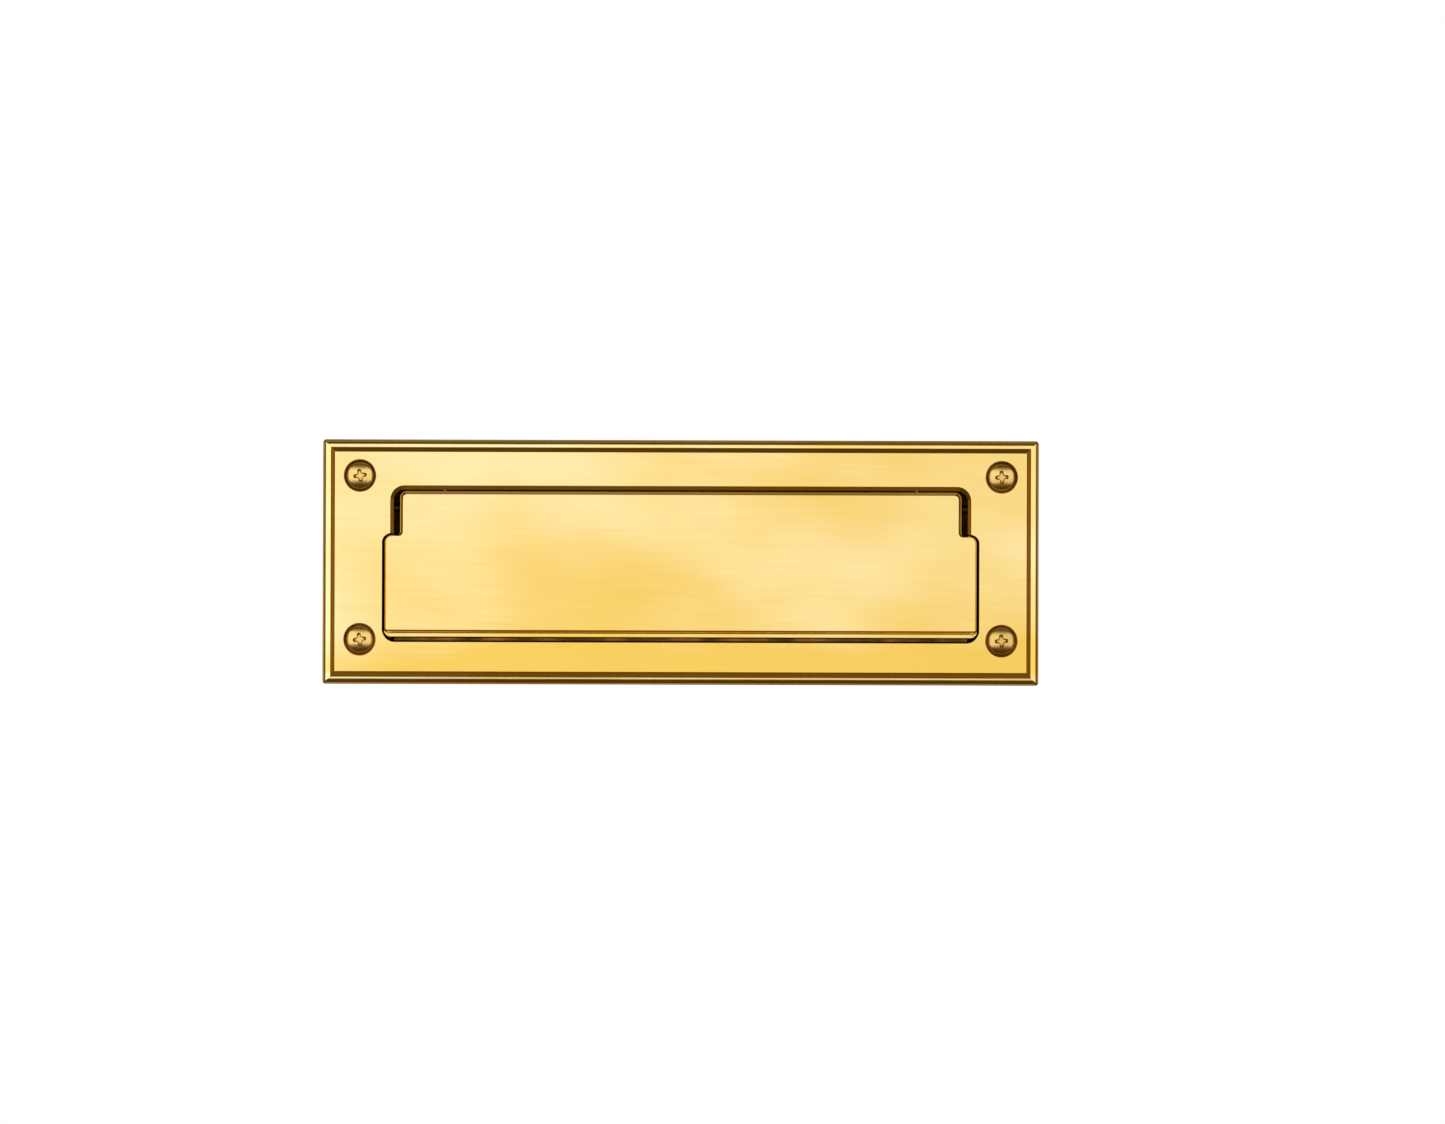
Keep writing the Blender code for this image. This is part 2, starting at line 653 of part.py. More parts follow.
def inner_plate():
    half = PLATE_WIDTH / 2.0
    rise = PLATE_HEIGHT / 2.0
    rebate = rectangle(TUNNEL_HALF + SHEET + REBATE_SIDE + GAP, TUNNEL_TOP + SHEET + REBATE_END + GAP,
                       TUNNEL_BOTTOM - SHEET - REBATE_END - GAP, TUNNEL_CORNER)
    opening = rectangle(INNER_HALF, INNER_TOP, INNER_BOTTOM, INNER_CORNER)
    flared = rectangle(INNER_HALF + INNER_EDGE, INNER_TOP + INNER_EDGE, INNER_BOTTOM - INNER_EDGE,
                       INNER_CORNER + INNER_EDGE)
    rings = []
    for inset, y in FRAME_EDGE:
        rings.append((rectangle(half - inset, rise - inset, inset - rise, FRAME_CORNER), y))
    rings += [
        (flared, FRAME_FRONT_Y),
        (opening, FRAME_FRONT_Y - INNER_EDGE),
        (opening, FRAME_BACK_Y + REBATE_DEPTH),
        (rebate, FRAME_BACK_Y + REBATE_DEPTH),
        (rebate, FRAME_BACK_Y),
    ]
    frame = place("inner_plate", loft(bmesh.new(), rings, capped=False), "polished_brass")

    added = bmesh.new()
    for side in (-1.0, 1.0):
        ear = ear_section(INNER_AXIS_Y, INNER_AXIS_Z, INNER_HINGE_RADIUS, FRAME_FRONT_Y - BITE)
        prism(added, side * INNER_LUG_INNER, side * INNER_LUG_OUTER, ear)
    combine(frame, place("cut_frame_added", added, None), "UNION")

    holes = bmesh.new()
    socket = POST_RADIUS + GAP
    for _, x, z in SCREW_PLACES:
        turned(holes, x, z, ((socket, FRAME_BACK_Y - OVERSHOOT), (socket, FRAME_BACK_Y + POST_SOCKET)))
    for side in (-1.0, 1.0):
        rod(holes, side * (INNER_LUG_INNER - OVERSHOOT), side * (INNER_LUG_OUTER + OVERSHOOT),
            INNER_AXIS_Y, INNER_AXIS_Z, INNER_PIN_RADIUS + GAP)
    combine(frame, place("cut_frame_holes", holes, None), "DIFFERENCE")
    return frame


def threaded_post(name, x, z):
    rear = FRAME_BACK_Y + POST_SOCKET - GAP
    bore = SHANK_RADIUS + GAP
    profile = (
        (bore, POST_START),
        (POST_RADIUS, POST_START),
        (POST_RADIUS, rear),
        (bore, rear - POST_WALL),
    )
    made = bmesh.new()
    rows = [[made.verts.new((px, y, pz)) for px, pz in circle(x, z, radius)] for radius, y in profile]
    join_rows(made, (rows[3], rows[0], rows[1], rows[2]))
    made.faces.new(rows[2])
    made.faces.new(rows[3])
    return place(name, made, "screw_brass", (x, FRAME_BACK_Y, z))


def inner_flap():
    front = FRAME_FRONT_Y + INNER_FLAP_GAP
    rear = front + INNER_FLAP_THICKNESS
    rings = []
    for inset, y in (
        (INNER_FLAP_EASE, front),
        (0.0, front + INNER_FLAP_EASE),
        (0.0, rear - INNER_FLAP_ROUND),
        (INNER_FLAP_ROUND * ROUND_MIDDLE, rear - INNER_FLAP_ROUND * ROUND_MIDDLE),
        (INNER_FLAP_ROUND, rear),
    ):
        rings.append((rectangle(INNER_FLAP_HALF - inset, INNER_FLAP_TOP - inset, INNER_FLAP_BOTTOM + inset,
                                INNER_FLAP_CORNER - inset), y))
    flap = place("inner_flap", loft(bmesh.new(), rings), "polished_brass", INNER_AXIS)

    added = bmesh.new()
    radius = INNER_HINGE_RADIUS
    half = ROUND_SIDES // 2
    section = []
    for step in range(half + 1):
        turn = math.pi - math.pi * step / half
        section.append((INNER_AXIS_Y + radius * math.cos(turn), INNER_AXIS_Z + radius * math.sin(turn)))
    section.append((INNER_AXIS_Y + radius, INNER_FLAP_TOP))
    section.append((rear - BITE, ARM_FOOT))
    section.append((front + BITE, ARM_FOOT))
    section.append((front + BITE, INNER_FLAP_TOP))
    for side in (-1.0, 1.0):
        prism(added, side * INNER_KNUCKLE_INNER, side * INNER_KNUCKLE_OUTER, section)
    combine(flap, place("cut_inner_flap_added", added, None), "UNION")

    holes = bmesh.new()
    for side in (-1.0, 1.0):
        rod(holes, side * (INNER_KNUCKLE_INNER - OVERSHOOT), side * (INNER_KNUCKLE_OUTER + OVERSHOOT),
            INNER_AXIS_Y, INNER_AXIS_Z, INNER_PIN_RADIUS + GAP)
    combine(flap, place("cut_inner_flap_holes", holes, None), "DIFFERENCE")
    return flap


def bumper(name, x, z, start, thickness):
    disc = turned(bmesh.new(), x, z, ((BUMPER_RADIUS, start), (BUMPER_RADIUS, start + thickness)))
    return place(name, disc, "rubber", (x, start, z))


def main():
    clear_scene()
    outer_plate()
    outer_flap()
    for label, x, z in SCREW_PLACES:
        plate_screw(f"plate_screw_{label}", x, z)
        threaded_post(f"threaded_post_{label}", x, z)
    hinge_pin("outer_hinge_pin", OUTER_PIN_HALF, PIN_RADIUS, OUTER_AXIS)
    hinge_pin("inner_hinge_pin", INNER_PIN_HALF, INNER_PIN_RADIUS, INNER_AXIS)
    for label, side in (("left", -1.0), ("right", 1.0)):
        pin_clip(f"outer_pin_clip_{label}", side * (LUG_OUTER + GAP), side,
                 PIN_RADIUS, CLIP_RADIUS, OUTER_AXIS)
        pin_clip(f"inner_pin_clip_{label}", side * (INNER_LUG_OUTER + GAP), side,
                 INNER_PIN_RADIUS, INNER_CLIP_RADIUS, INNER_AXIS)
        torsion_spring(f"torsion_spring_{label}", side)
        bumper(f"outer_bumper_{label}", side * BUMPER_X, BUMPER_Z, -POCKET_HEIGHT + GAP, BUMPER_THICKNESS)
        bumper(f"inner_bumper_{label}", side * INNER_BUMPER_X, INNER_BUMPER_Z, FRAME_FRONT_Y + GAP,
               INNER_BUMPER_THICKNESS)
    gasket()
    sleeve_outer()
    sleeve_inner()
    inner_plate()
    inner_flap()


main()
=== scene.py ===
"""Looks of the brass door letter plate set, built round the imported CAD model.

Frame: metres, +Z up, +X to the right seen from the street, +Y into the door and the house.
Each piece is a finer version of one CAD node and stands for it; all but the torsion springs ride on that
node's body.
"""

import json
import math

import bmesh
import bpy
from mathutils import Matrix, Vector


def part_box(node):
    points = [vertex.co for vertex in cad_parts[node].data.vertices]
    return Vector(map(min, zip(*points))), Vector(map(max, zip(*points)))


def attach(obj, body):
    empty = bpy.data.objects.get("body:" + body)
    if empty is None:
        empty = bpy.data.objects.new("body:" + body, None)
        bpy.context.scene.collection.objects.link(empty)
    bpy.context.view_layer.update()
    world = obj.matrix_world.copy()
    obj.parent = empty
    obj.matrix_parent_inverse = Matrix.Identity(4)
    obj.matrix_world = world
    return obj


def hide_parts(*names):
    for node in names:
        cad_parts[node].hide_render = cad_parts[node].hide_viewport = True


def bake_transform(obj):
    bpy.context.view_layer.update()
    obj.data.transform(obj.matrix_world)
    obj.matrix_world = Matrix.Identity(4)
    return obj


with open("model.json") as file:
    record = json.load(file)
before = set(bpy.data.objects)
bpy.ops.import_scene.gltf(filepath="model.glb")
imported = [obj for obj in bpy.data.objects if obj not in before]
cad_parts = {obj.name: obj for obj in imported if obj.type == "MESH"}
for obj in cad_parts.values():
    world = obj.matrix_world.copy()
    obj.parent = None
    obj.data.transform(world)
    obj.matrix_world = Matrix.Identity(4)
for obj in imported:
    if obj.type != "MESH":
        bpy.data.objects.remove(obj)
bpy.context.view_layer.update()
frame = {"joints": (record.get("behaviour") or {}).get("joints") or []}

# ---- read from the frame -----------------------------------------------------------------------
ANCHORS = {joint["name"]: joint["pos_m"] for joint in frame["joints"] if "pos_m" in joint}
PLATE_LOW, PLATE_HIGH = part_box("outer_plate")
PLATE_HALF = PLATE_HIGH.x
PLATE_RISE = PLATE_HIGH.z
FACE_HEIGHT = -PLATE_LOW.y
FLAP_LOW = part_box("outer_flap")[0]
FLAP_FACE = -FLAP_LOW.y
GASKET_LOW, GASKET_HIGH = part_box("foam_gasket")
FRAME_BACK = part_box("inner_plate")[0].y

# ---- outer plate -------------------------------------------------------------------------------
PLATE_CORNER = 0.0012
FACE_INSET = 0.0049
EDGE_FOOT = 0.0023
BEAD_HEIGHT = 0.0039
BEAD_CREST = 0.0029
RISER_FOOT = 0.0031
RISER_ROUND = 0.0006
RISER_SLOPE = math.radians(36.0)
ARRIS = 0.00022
RIM_WIDTH = 0.0046
WALL = 0.0028
POCKET = FACE_HEIGHT - WALL
POCKET_CORNER = 0.0015
TINY_RADIUS = 0.0003
LEAST_CORNER = 0.00015
CLEARANCE = 0.0003
BITE = 0.0002  # how far joined shapes run into each other
OVERSHOOT = 0.0010  # how far cutters run past what they cut

# ---- slot opening ------------------------------------------------------------------------------
SLOT_HALF_LOW = 0.1126
SLOT_HALF_HIGH = 0.1097
SLOT_TOP = 0.0289
SLOT_STEP = 0.0107
SLOT_BOTTOM = -0.03035
SLOT_CORNER_TOP = 0.0056
SLOT_CORNER_STEP = 0.0035
SLOT_CORNER_BOTTOM = 0.0049
SLOT_LOW_DRAFT = 0.0005
SLOT_HIGH_DRAFT = 0.0015
SLOT_TOP_DRAFT = 0.0017
SLOT_BOTTOM_DRAFT = 0.0007
SLOT_ROUND_DEPTH = 0.00102
SLOT_ARRIS_SHARE = 0.2
SLOT_ARRIS_DEPTH = 0.00012

# ---- outer flap --------------------------------------------------------------------------------
FLAP_HALF_LOW = 0.1116
FLAP_HALF_HIGH = 0.1057
FLAP_TOP = 0.0267
FLAP_SHOULDER = 0.0103
FLAP_BOTTOM = -0.0286
FLAP_THICKNESS = 0.0030
FLAP_SIDE_ROUND = 0.0007
FLAP_HIGH_ROUND = 0.0013
FLAP_TOP_ROUND = 0.0015
FLAP_CORNER_SHOULDER = 0.0029
FLAP_CORNER_NOTCH = 0.0011
FLAP_CORNER_TOP = 0.0027
FLAP_CORNER_BOTTOM = 0.0021
FLAP_STEP_TOP = -0.0256
FLAP_STEP_FOOT = -0.0270
FLAP_STEP_DEPTH = 0.0010
FLAP_STEP_STRAIGHT = 0.6
FLAP_STEP_CORNER = 0.001575
FLAP_LIP_DEPTH = 0.00102
FLAP_LIP_ROUND = 0.0005
FLAP_STEP_STEPS = 9
FLAP_ARRIS_DEPTH = 0.00008
FLAP_ARRIS_SHARE = 0.80
FLAP_EDGE_DEPTH = 0.00078
FLAP_REAR_SHARE = 0.25
STOP_HALF = 0.1080
STOP_ROOT = -0.0245
STOP_THICKNESS = 0.0014
BUMPER_THICKNESS = 0.0006
STOP_FRONT = POCKET - BUMPER_THICKNESS - CLEARANCE - CLEARANCE

# ---- hinges, springs and clips -----------------------------------------------------------------
LUG_INNER = 0.1085
LUG_OUTER = 0.1121
LUG_RADIUS = 0.0034
KNUCKLE_INNER = 0.0960
KNUCKLE_OUTER = 0.1045
PIN_RADIUS = 0.0016
CLIP_OPENING = math.radians(80.0)
COIL_RADIUS = 0.0033
WIRE_RADIUS = 0.0005
COIL_START = 0.0790
COIL_LENGTH = 0.0100
COIL_TURNS = 6
LEG_DOWN = 0.0120
LEG_UP = 0.0100
PIN_CHAMFER = 0.0003
GROOVE_START = -0.0001
GROOVE_END = 0.0007
GROOVE_DEPTH = 0.00025
CLIP_EDGE = 0.00012
CLIP_REACH = 0.0007
CLIP_FINGER = 0.0006
CLIP_FINGERS = 3.0

# ---- screws and posts --------------------------------------------------------------------------
COUNTERSINK_RADIUS = 0.0060
COUNTERSINK_MOUTH = 0.00732
CONE_HALF_ANGLE = math.radians(41.0)
HEAD_RADIUS = 0.0052
HEAD_SUNK = 0.00082
HEAD_DOME = 0.00142
HEAD_FALL = 0.00082
HEAD_FLAT = 0.0045
HEAD_RIM_IN = 0.00008
HEAD_RIM_DEEP = 0.00018
SHANK_EASE = 0.0002
SHANK_RADIUS = 0.0024
THREAD_DEPTH = 0.00055
THREAD_PITCH = 0.00106
THREAD_START = 0.0030
THREAD_RUN_IN = 0.0004
SCREW_POINT = 0.0010
POINT_TAPER = 0.0006
BOSS_RADIUS = 0.0046
CROSS_LENGTH = 0.0056
CROSS_WIDTH = 0.0015
CROSS_DEPTH = 0.0014
CROSS_CENTRE = 0.00165
CROSS_CENTRE_FOOT = 0.00132
CROSS_MOUTH_WIDE = 1.35
CROSS_FACE_WIDE = 1.15
CROSS_FOOT_LONG = 0.60
CROSS_FOOT_WIDE = 0.30
POST_RADIUS = 0.0040
POST_WALL = 0.0020
POST_SOCKET = 0.0024
POST_EDGE = 0.0004
POST_GROOVE = 0.0003
POST_GROOVE_WALL = 0.0002
POST_GROOVE_FLOOR = 0.0003
POST_GROOVE_PITCH = 0.0011
POST_GROOVES = 3
POST_GROOVES_AT = 0.0024

# ---- tunnel, frame and inner flap --------------------------------------------------------------
SHEET = 0.0008
SHEET_BEND = 0.0005
SHEET_EASE = 0.0002
TUNNEL_HALF = 0.1128
TUNNEL_TOP = 0.0310
TUNNEL_BOTTOM = -0.0344
TUNNEL_CORNER = 0.0020
GASKET_HALF = 0.1135
GASKET_TOP = 0.0316
GASKET_BOTTOM = -0.0350
GASKET_SOFT = 0.0003
FRAME_THICKNESS = 0.0040
FRAME_ROUND = 0.0012
FRAME_EASE = 0.0002
FRAME_CORNER = 0.0030
INNER_HALF = 0.1125
INNER_TOP = 0.0225
INNER_BOTTOM = -0.0339
INNER_CORNER = 0.0030
INNER_EDGE = 0.0006
REBATE_DEPTH = 0.0012
REBATE_SIDE = 0.0016
REBATE_END = 0.0022
INNER_FLAP_GAP = 0.0020
INNER_FLAP_THICKNESS = 0.0020
INNER_FLAP_HALF = 0.1178
INNER_FLAP_TOP = 0.0255
INNER_FLAP_BOTTOM = -0.0388
INNER_FLAP_CORNER = 0.0040
INNER_FLAP_ROUND = 0.0007
INNER_FLAP_EASE = 0.00028
INNER_LUG_INNER = 0.1040
INNER_LUG_OUTER = 0.1080
INNER_KNUCKLE_INNER = 0.0975
INNER_KNUCKLE_OUTER = 0.1037
INNER_HINGE_RADIUS = 0.0023
INNER_PIN_RADIUS = 0.0012
ARM_FOOT = 0.0150
PAD_SOFT = 0.45
PAD_FLAT = 0.45

# ---- mesh fineness -----------------------------------------------------------------------------
CORNER_STEPS = 10
ROUND_STEPS = 8
HEAD_SIDES = 72
ROUND_SIDES = 48
DOME_STEPS = 10
SHOULDER_STEPS = 5
CROSS_STEPS = 6
THREAD_STEPS = 4
COIL_STEPS = 24
WIRE_SIDES = 12
PAD_SIDES = 32
SHARP_ANGLE = math.radians(32.0)

PLACES = ("left_top", "right_top", "left_bottom", "right_bottom")
CROSS_TURN_LEFT = math.radians(9.0)
CROSS_TURN_RIGHT = math.radians(4.0)


# ---- mesh helpers ------------------------------------------------------------------------------
def outline(corners):
    """Closed outline in X and Z from right-angled corners (x, z, radius)."""
    points = []
    count = len(corners)
    for index, (x, z, radius) in enumerate(corners):
        here = Vector((x, z))
        before = (Vector(corners[index - 1][:2]) - here).normalized()
        after = (Vector(corners[(index + 1) % count][:2]) - here).normalized()
        centre = here + (before + after) * radius
        for step in range(CORNER_STEPS + 1):
            turn = math.pi / 2.0 * step / CORNER_STEPS
            arc = after * math.cos(turn) + before * math.sin(turn)
            points.append(centre - arc * radius)
    return points


def rectangle(half, top, bottom, radius):
    low = ((-half, bottom, radius), (half, bottom, radius))
    high = ((half, top, radius), (-half, top, radius))
    return outline(low + high)


def join_rows(shape, rows):
    for row, following in zip(rows, rows[1:]):
        for index in range(len(row)):
            other = (index + 1) % len(row)
            shape.faces.new((row[index], row[other], following[other], following[index]))


def join_and_cap(shape, rows):
    join_rows(shape, rows)
    shape.faces.new(rows[0])
    shape.faces.new(rows[-1])
    return shape


def loft(shape, rings, capped=True):
    """Joins rings of (outline, y); capped at both ends, or closed on itself like a tube's wall."""
    rows = [[shape.verts.new((p[0], y, p[1])) for p in points] for points, y in rings]
    if capped:
        return join_and_cap(shape, rows)
    join_rows(shape, rows)
    join_rows(shape, (rows[-1], rows[0]))
    return shape


def circle(x, z, radius, sides):
    turns = [2.0 * math.pi * side / sides for side in range(sides)]
    return [(x + radius * math.cos(turn), z + radius * math.sin(turn)) for turn in turns]


def turned(shape, x, z, profile, sides=ROUND_SIDES):
    """A turned body along Y through (x, z), from (radius, y) pairs."""
    return loft(shape, [(circle(x, z, radius, sides), y) for radius, y in profile])


def turned_across(shape, y, z, profile, sides=ROUND_SIDES):
    """A turned body along X through (y, z), from (radius, x) pairs."""
    rows = []
    for radius, x in profile:
        rows.append([shape.verts.new((x, *p)) for p in circle(y, z, radius, sides)])
    return join_and_cap(shape, rows)


def prism(shape, start, end, section):
    """A section of (y, z) points drawn out along X."""
    rows = [[shape.verts.new((x, y, z)) for y, z in section] for x in (start, end)]
    return join_and_cap(shape, rows)


def prism_pair(shape, start, end, section):
    """The same prism at both ends of the hinge, between two distances from the middle."""
    for side in (-1.0, 1.0):
        prism(shape, side * start, side * end, section)


def pin_bores(shape, axis, start, end, radius):
    """Cutters for the pin through both ears, which stand between two distances from the middle."""
    for side in (-1.0, 1.0):
        ends = (side * (start - OVERSHOOT), side * (end + OVERSHOOT))
        turned_across(shape, axis[1], axis[2], [(radius + CLEARANCE, x) for x in ends])


def ear_section(axis_y, axis_z, radius, root_y):
    """Section of a hinge ear: round about the axis, flat sides back to the wall it stands on."""
    side = 1.0 if root_y < axis_y else -1.0
    half = ROUND_SIDES // 2
    points = []
    for step in range(half + 1):
        turn = math.pi / 2.0 - math.pi * step / half
        points.append((axis_y + side * radius * math.cos(turn), axis_z + radius * math.sin(turn)))
    points.append((root_y, axis_z - radius))
    points.append((root_y, axis_z + radius))
    return points


def quarter(steps=ROUND_STEPS):
    """Pairs (across, along) round a quarter of a unit circle, from (0, 0) to (1, 1)."""
    turns = [math.pi / 2.0 * step / steps for step in range(steps + 1)]
    return [(1.0 - math.cos(turn), math.sin(turn)) for turn in turns]


def make(name, shape, materials):
    bmesh.ops.remove_doubles(shape, verts=shape.verts, dist=1e-7)
    bmesh.ops.recalc_face_normals(shape, faces=shape.faces)
    mesh = bpy.data.meshes.new(name)
    shape.to_mesh(mesh)
    shape.free()
    for material in materials:
        mesh.materials.append(material)
    made = bpy.data.objects.new(name, mesh)
    bpy.context.scene.collection.objects.link(made)
    return made


def combine(target, shape, operation):
    """Cuts or joins a shape into the target for good."""
    tool = make("tool", shape, [])
    step = target.modifiers.new("combine", "BOOLEAN")
    step.operation = operation
    step.solver = "EXACT"
    step.object = tool
    graph = bpy.context.evaluated_depsgraph_get()
    result = bpy.data.meshes.new_from_object(target.evaluated_get(graph))
    before = target.data
    target.modifiers.clear()
    target.data = result
    result.name = target.name
    bpy.data.meshes.remove(before)
    bpy.data.objects.remove(tool)


def settle(piece, node, body):
    """Shades the piece and ties it to its CAD node and body."""
    piece.data.shade_smooth()
    piece.data.set_sharp_from_angle(angle=SHARP_ANGLE)
    normals = piece.modifiers.new("normals", "WEIGHTED_NORMAL")
    normals.keep_sharp = True
    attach(piece, body)
    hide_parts(node)
    return piece


def paint_rear(piece, index, low_y, rise):
    """Gives the faces behind `low_y` and inside `rise` the material at `index`."""
    for face in piece.data.polygons:
        if face.center.y > low_y and abs(face.center.z) < rise:
            face.material_index = index


# ---- materials ---------------------------------------------------------------------------------
class Wires:
    """Short names for building one node tree."""

    def __init__(self, tree):
        self.tree = tree

    def node(self, kind, **values):
        made = self.tree.nodes.new(kind)
        for key, value in values.items():
            setattr(made, key, value)
        return made

    def link(self, start, end):
        self.tree.links.new(start, end)

    def maths(self, operation, first, second=None, clamp=False):
        made = self.node("ShaderNodeMath", operation=operation, use_clamp=clamp)
        for socket, value in zip(made.inputs, (first, second)):
            if isinstance(value, (int, float)):
                socket.default_value = value
            elif value is not None:
                self.link(value, socket)
        return made.outputs[0]

    def added(self, first, second):
        made = self.node("ShaderNodeAddShader")
        self.link(first, made.inputs[0])
        self.link(second, made.inputs[1])
        return made.outputs[0]

    def spread(self, value, low, high, start=0.0, end=1.0):
        """Maps value from low..high to start..end, easing in and out."""
        made = self.node("ShaderNodeMapRange", interpolation_type="SMOOTHSTEP")
        self.link(value, made.inputs["Value"])
        for key, number in (("From Min", low), ("From Max", high), ("To Min", start), ("To Max", end)):
            made.inputs[key].default_value = number
        return made.outputs["Result"]

    def noise(self, scale, detail=3.0, turn=0.0, roughness=0.5):
        """Noise in object coordinates, stretched by `scale` per metre and turned about Y."""
        place = self.node("ShaderNodeTexCoord")
        mapping = self.node("ShaderNodeMapping", vector_type="TEXTURE")
        mapping.inputs["Rotation"].default_value = (0.0, turn, 0.0)
        mapping.inputs["Scale"].default_value = [1.0 / value for value in scale]
        grain = self.node("ShaderNodeTexNoise")
        grain.inputs["Scale"].default_value = 1.0
        grain.inputs["Detail"].default_value = detail
        grain.inputs["Roughness"].default_value = roughness
        self.link(place.outputs["Object"], mapping.inputs["Vector"])
        self.link(mapping.outputs["Vector"], grain.inputs["Vector"])
        return grain.outputs["Fac"]

    def blend(self, share, first, second):
        made = self.node("ShaderNodeMix", data_type="RGBA")
        self.link(share, made.inputs["Factor"])
        made.inputs["A"].default_value = (*first, 1.0)
        made.inputs["B"].default_value = (*second, 1.0)
        return [socket for socket in made.outputs if socket.type == "RGBA"][0]

    def bump(self, heights, distance, under=None):
        made = self.node("ShaderNodeBump")
        made.inputs["Distance"].default_value = distance
        self.link(heights, made.inputs["Height"])
        if under is not None:
            self.link(under, made.inputs["Normal"])
        return made.outputs["Normal"]


def new_material(name, metallic=1.0, **fixed):
    material = bpy.data.materials.new(name)
    material.use_nodes = True
    wires = Wires(material.node_tree)
    shader = material.node_tree.nodes["Principled BSDF"]
    shader.inputs["Metallic"].default_value = metallic
    for key, value in fixed.items():
        shader.inputs[key.replace("_", " ")].default_value = value
    return material, wires, shader


def polished_brass(name, light, deep, smooth, worn, marks):
    """Brass with long fine polishing marks and slow unevenness, paler to the left as a painted highlight,
    and darker towards the foot as painted shade that turns paler again along the bottom edge.
    """
    material, wires, shader = new_material(name, Coat_Weight=0.4, Coat_Roughness=0.10)
    shader.inputs["Specular Tint"].default_value = (0.95, 0.72, 0.34, 1.0)
    long_marks = wires.noise((38.0, 38.0, 700.0), detail=3.0, turn=math.radians(2.5), roughness=0.55)
    cross_marks = wires.noise((150.0, 150.0, 420.0), detail=2.0, turn=math.radians(-16.0))
    clouds = wires.noise((9.0, 9.0, 15.0), detail=2.0, turn=math.radians(20.0))
    place = wires.node("ShaderNodeTexCoord")
    parts = wires.node("ShaderNodeSeparateXYZ")
    wires.link(place.outputs["Object"], parts.inputs[0])
    x, _, z = parts.outputs
    # painted shade: darker towards the foot, then paler again in the last few millimetres above the bottom
    # edge
    foot = wires.maths("ADD", wires.spread(z, -0.042, -0.022, 0.75, 0.0),
                       wires.spread(z, -0.0428, -0.0412, -0.90, 0.0))
    # painted highlight: paler towards the left side
    left = wires.spread(x, -0.125, -0.010, -0.35, 0.0)
    uneven = wires.maths("ADD", clouds, wires.maths("MULTIPLY", long_marks, 0.12))
    rubbed = wires.spread(uneven, 0.34, 0.80)
    tone_with_painted_light = wires.maths("ADD", wires.maths("ADD", rubbed, left), foot, clamp=True)
    wires.link(wires.blend(tone_with_painted_light, light, deep), shader.inputs["Base Color"])
    rough = wires.maths("ADD", wires.spread(long_marks, 0.35, 0.7, smooth, worn),
                        wires.spread(clouds, 0.35, 0.7, 0.0, 0.04))
    wires.link(rough, shader.inputs["Roughness"])
    height = wires.maths("ADD", long_marks, wires.maths("MULTIPLY", cross_marks, 0.6))
    waves = wires.bump(clouds, 0.0006)
    wires.link(wires.bump(height, marks, waves), shader.inputs["Normal"])
    return material


def cast_brass_and_painted_shade():
    """The unpolished sand-cast skin of the hidden backs and the cut cones under the screw heads; its dark
    browns also paint the shade of the gaps and recesses where these faces show.
    """
    material, wires, shader = new_material("cast_brass_and_painted_shade")
    grains = wires.noise((2600.0, 2600.0, 2600.0), detail=2.0)
    stains = wires.noise((90.0, 90.0, 90.0), detail=4.0)
    # these dark browns are partly the cast skin and partly painted shade
    wires.link(wires.blend(wires.spread(stains, 0.3, 0.7), (0.42, 0.21, 0.050), (0.24, 0.12, 0.030)),
               shader.inputs["Base Color"])
    wires.link(wires.spread(stains, 0.3, 0.7, 0.42, 0.62), shader.inputs["Roughness"])
    wires.link(wires.bump(grains, 0.00012), shader.inputs["Normal"])
    return material


def steel(name, light, deep, roughness):
    """Drawn wire and ground pins: fine rings across the length."""
    material, wires, shader = new_material(name)
    rings = wires.noise((5200.0, 300.0, 300.0), detail=2.0)
    wires.link(wires.blend(wires.spread(rings, 0.3, 0.7), light, deep), shader.inputs["Base Color"])
    wires.link(wires.spread(rings, 0.3, 0.7, roughness, roughness + 0.12), shader.inputs["Roughness"])
    wires.link(wires.bump(rings, 0.00001), shader.inputs["Normal"])
    return material


def rolled_aluminium():
    """Satin anodised sheet: rolling lines along the sleeve and a soft mottling."""
    material, wires, shader = new_material("rolled_aluminium")
    lines = wires.noise((1400.0, 30.0, 1400.0), detail=3.0)
    mottle = wires.noise((60.0, 60.0, 60.0), detail=3.0)
    wires.link(wires.blend(wires.spread(mottle, 0.3, 0.7), (0.60, 0.60, 0.61), (0.46, 0.46, 0.475)),
               shader.inputs["Base Color"])
    wires.link(wires.spread(lines, 0.3, 0.7, 0.34, 0.48), shader.inputs["Roughness"])
    wires.link(wires.bump(lines, 0.00002), shader.inputs["Normal"])
    return material


def foam():
    material, wires, shader = new_material("closed_cell_foam", metallic=0.0, Sheen_Weight=0.25)
    place = wires.node("ShaderNodeTexCoord")
    cells = wires.node("ShaderNodeTexVoronoi", feature="SMOOTH_F1")
    cells.inputs["Scale"].default_value = 2200.0
    wires.link(place.outputs["Object"], cells.inputs["Vector"])
    pores = cells.outputs["Distance"]
    wires.link(wires.blend(wires.spread(pores, 0.1, 0.6), (0.030, 0.030, 0.033), (0.075, 0.075, 0.080)),
               shader.inputs["Base Color"])
    wires.link(wires.spread(pores, 0.1, 0.6, 0.95, 0.80), shader.inputs["Roughness"])
    wires.link(wires.bump(pores, 0.00025), shader.inputs["Normal"])
    return material


def rubber():
    material, wires, shader = new_material("moulded_rubber", metallic=0.0)
    dust = wires.noise((900.0, 900.0, 900.0), detail=4.0)
    wires.link(wires.blend(wires.spread(dust, 0.35, 0.75), (0.018, 0.018, 0.019), (0.055, 0.053, 0.050)),
               shader.inputs["Base Color"])
    wires.link(wires.spread(dust, 0.3, 0.7, 0.55, 0.75), shader.inputs["Roughness"])
    wires.link(wires.bump(dust, 0.00004), shader.inputs["Normal"])
    return material


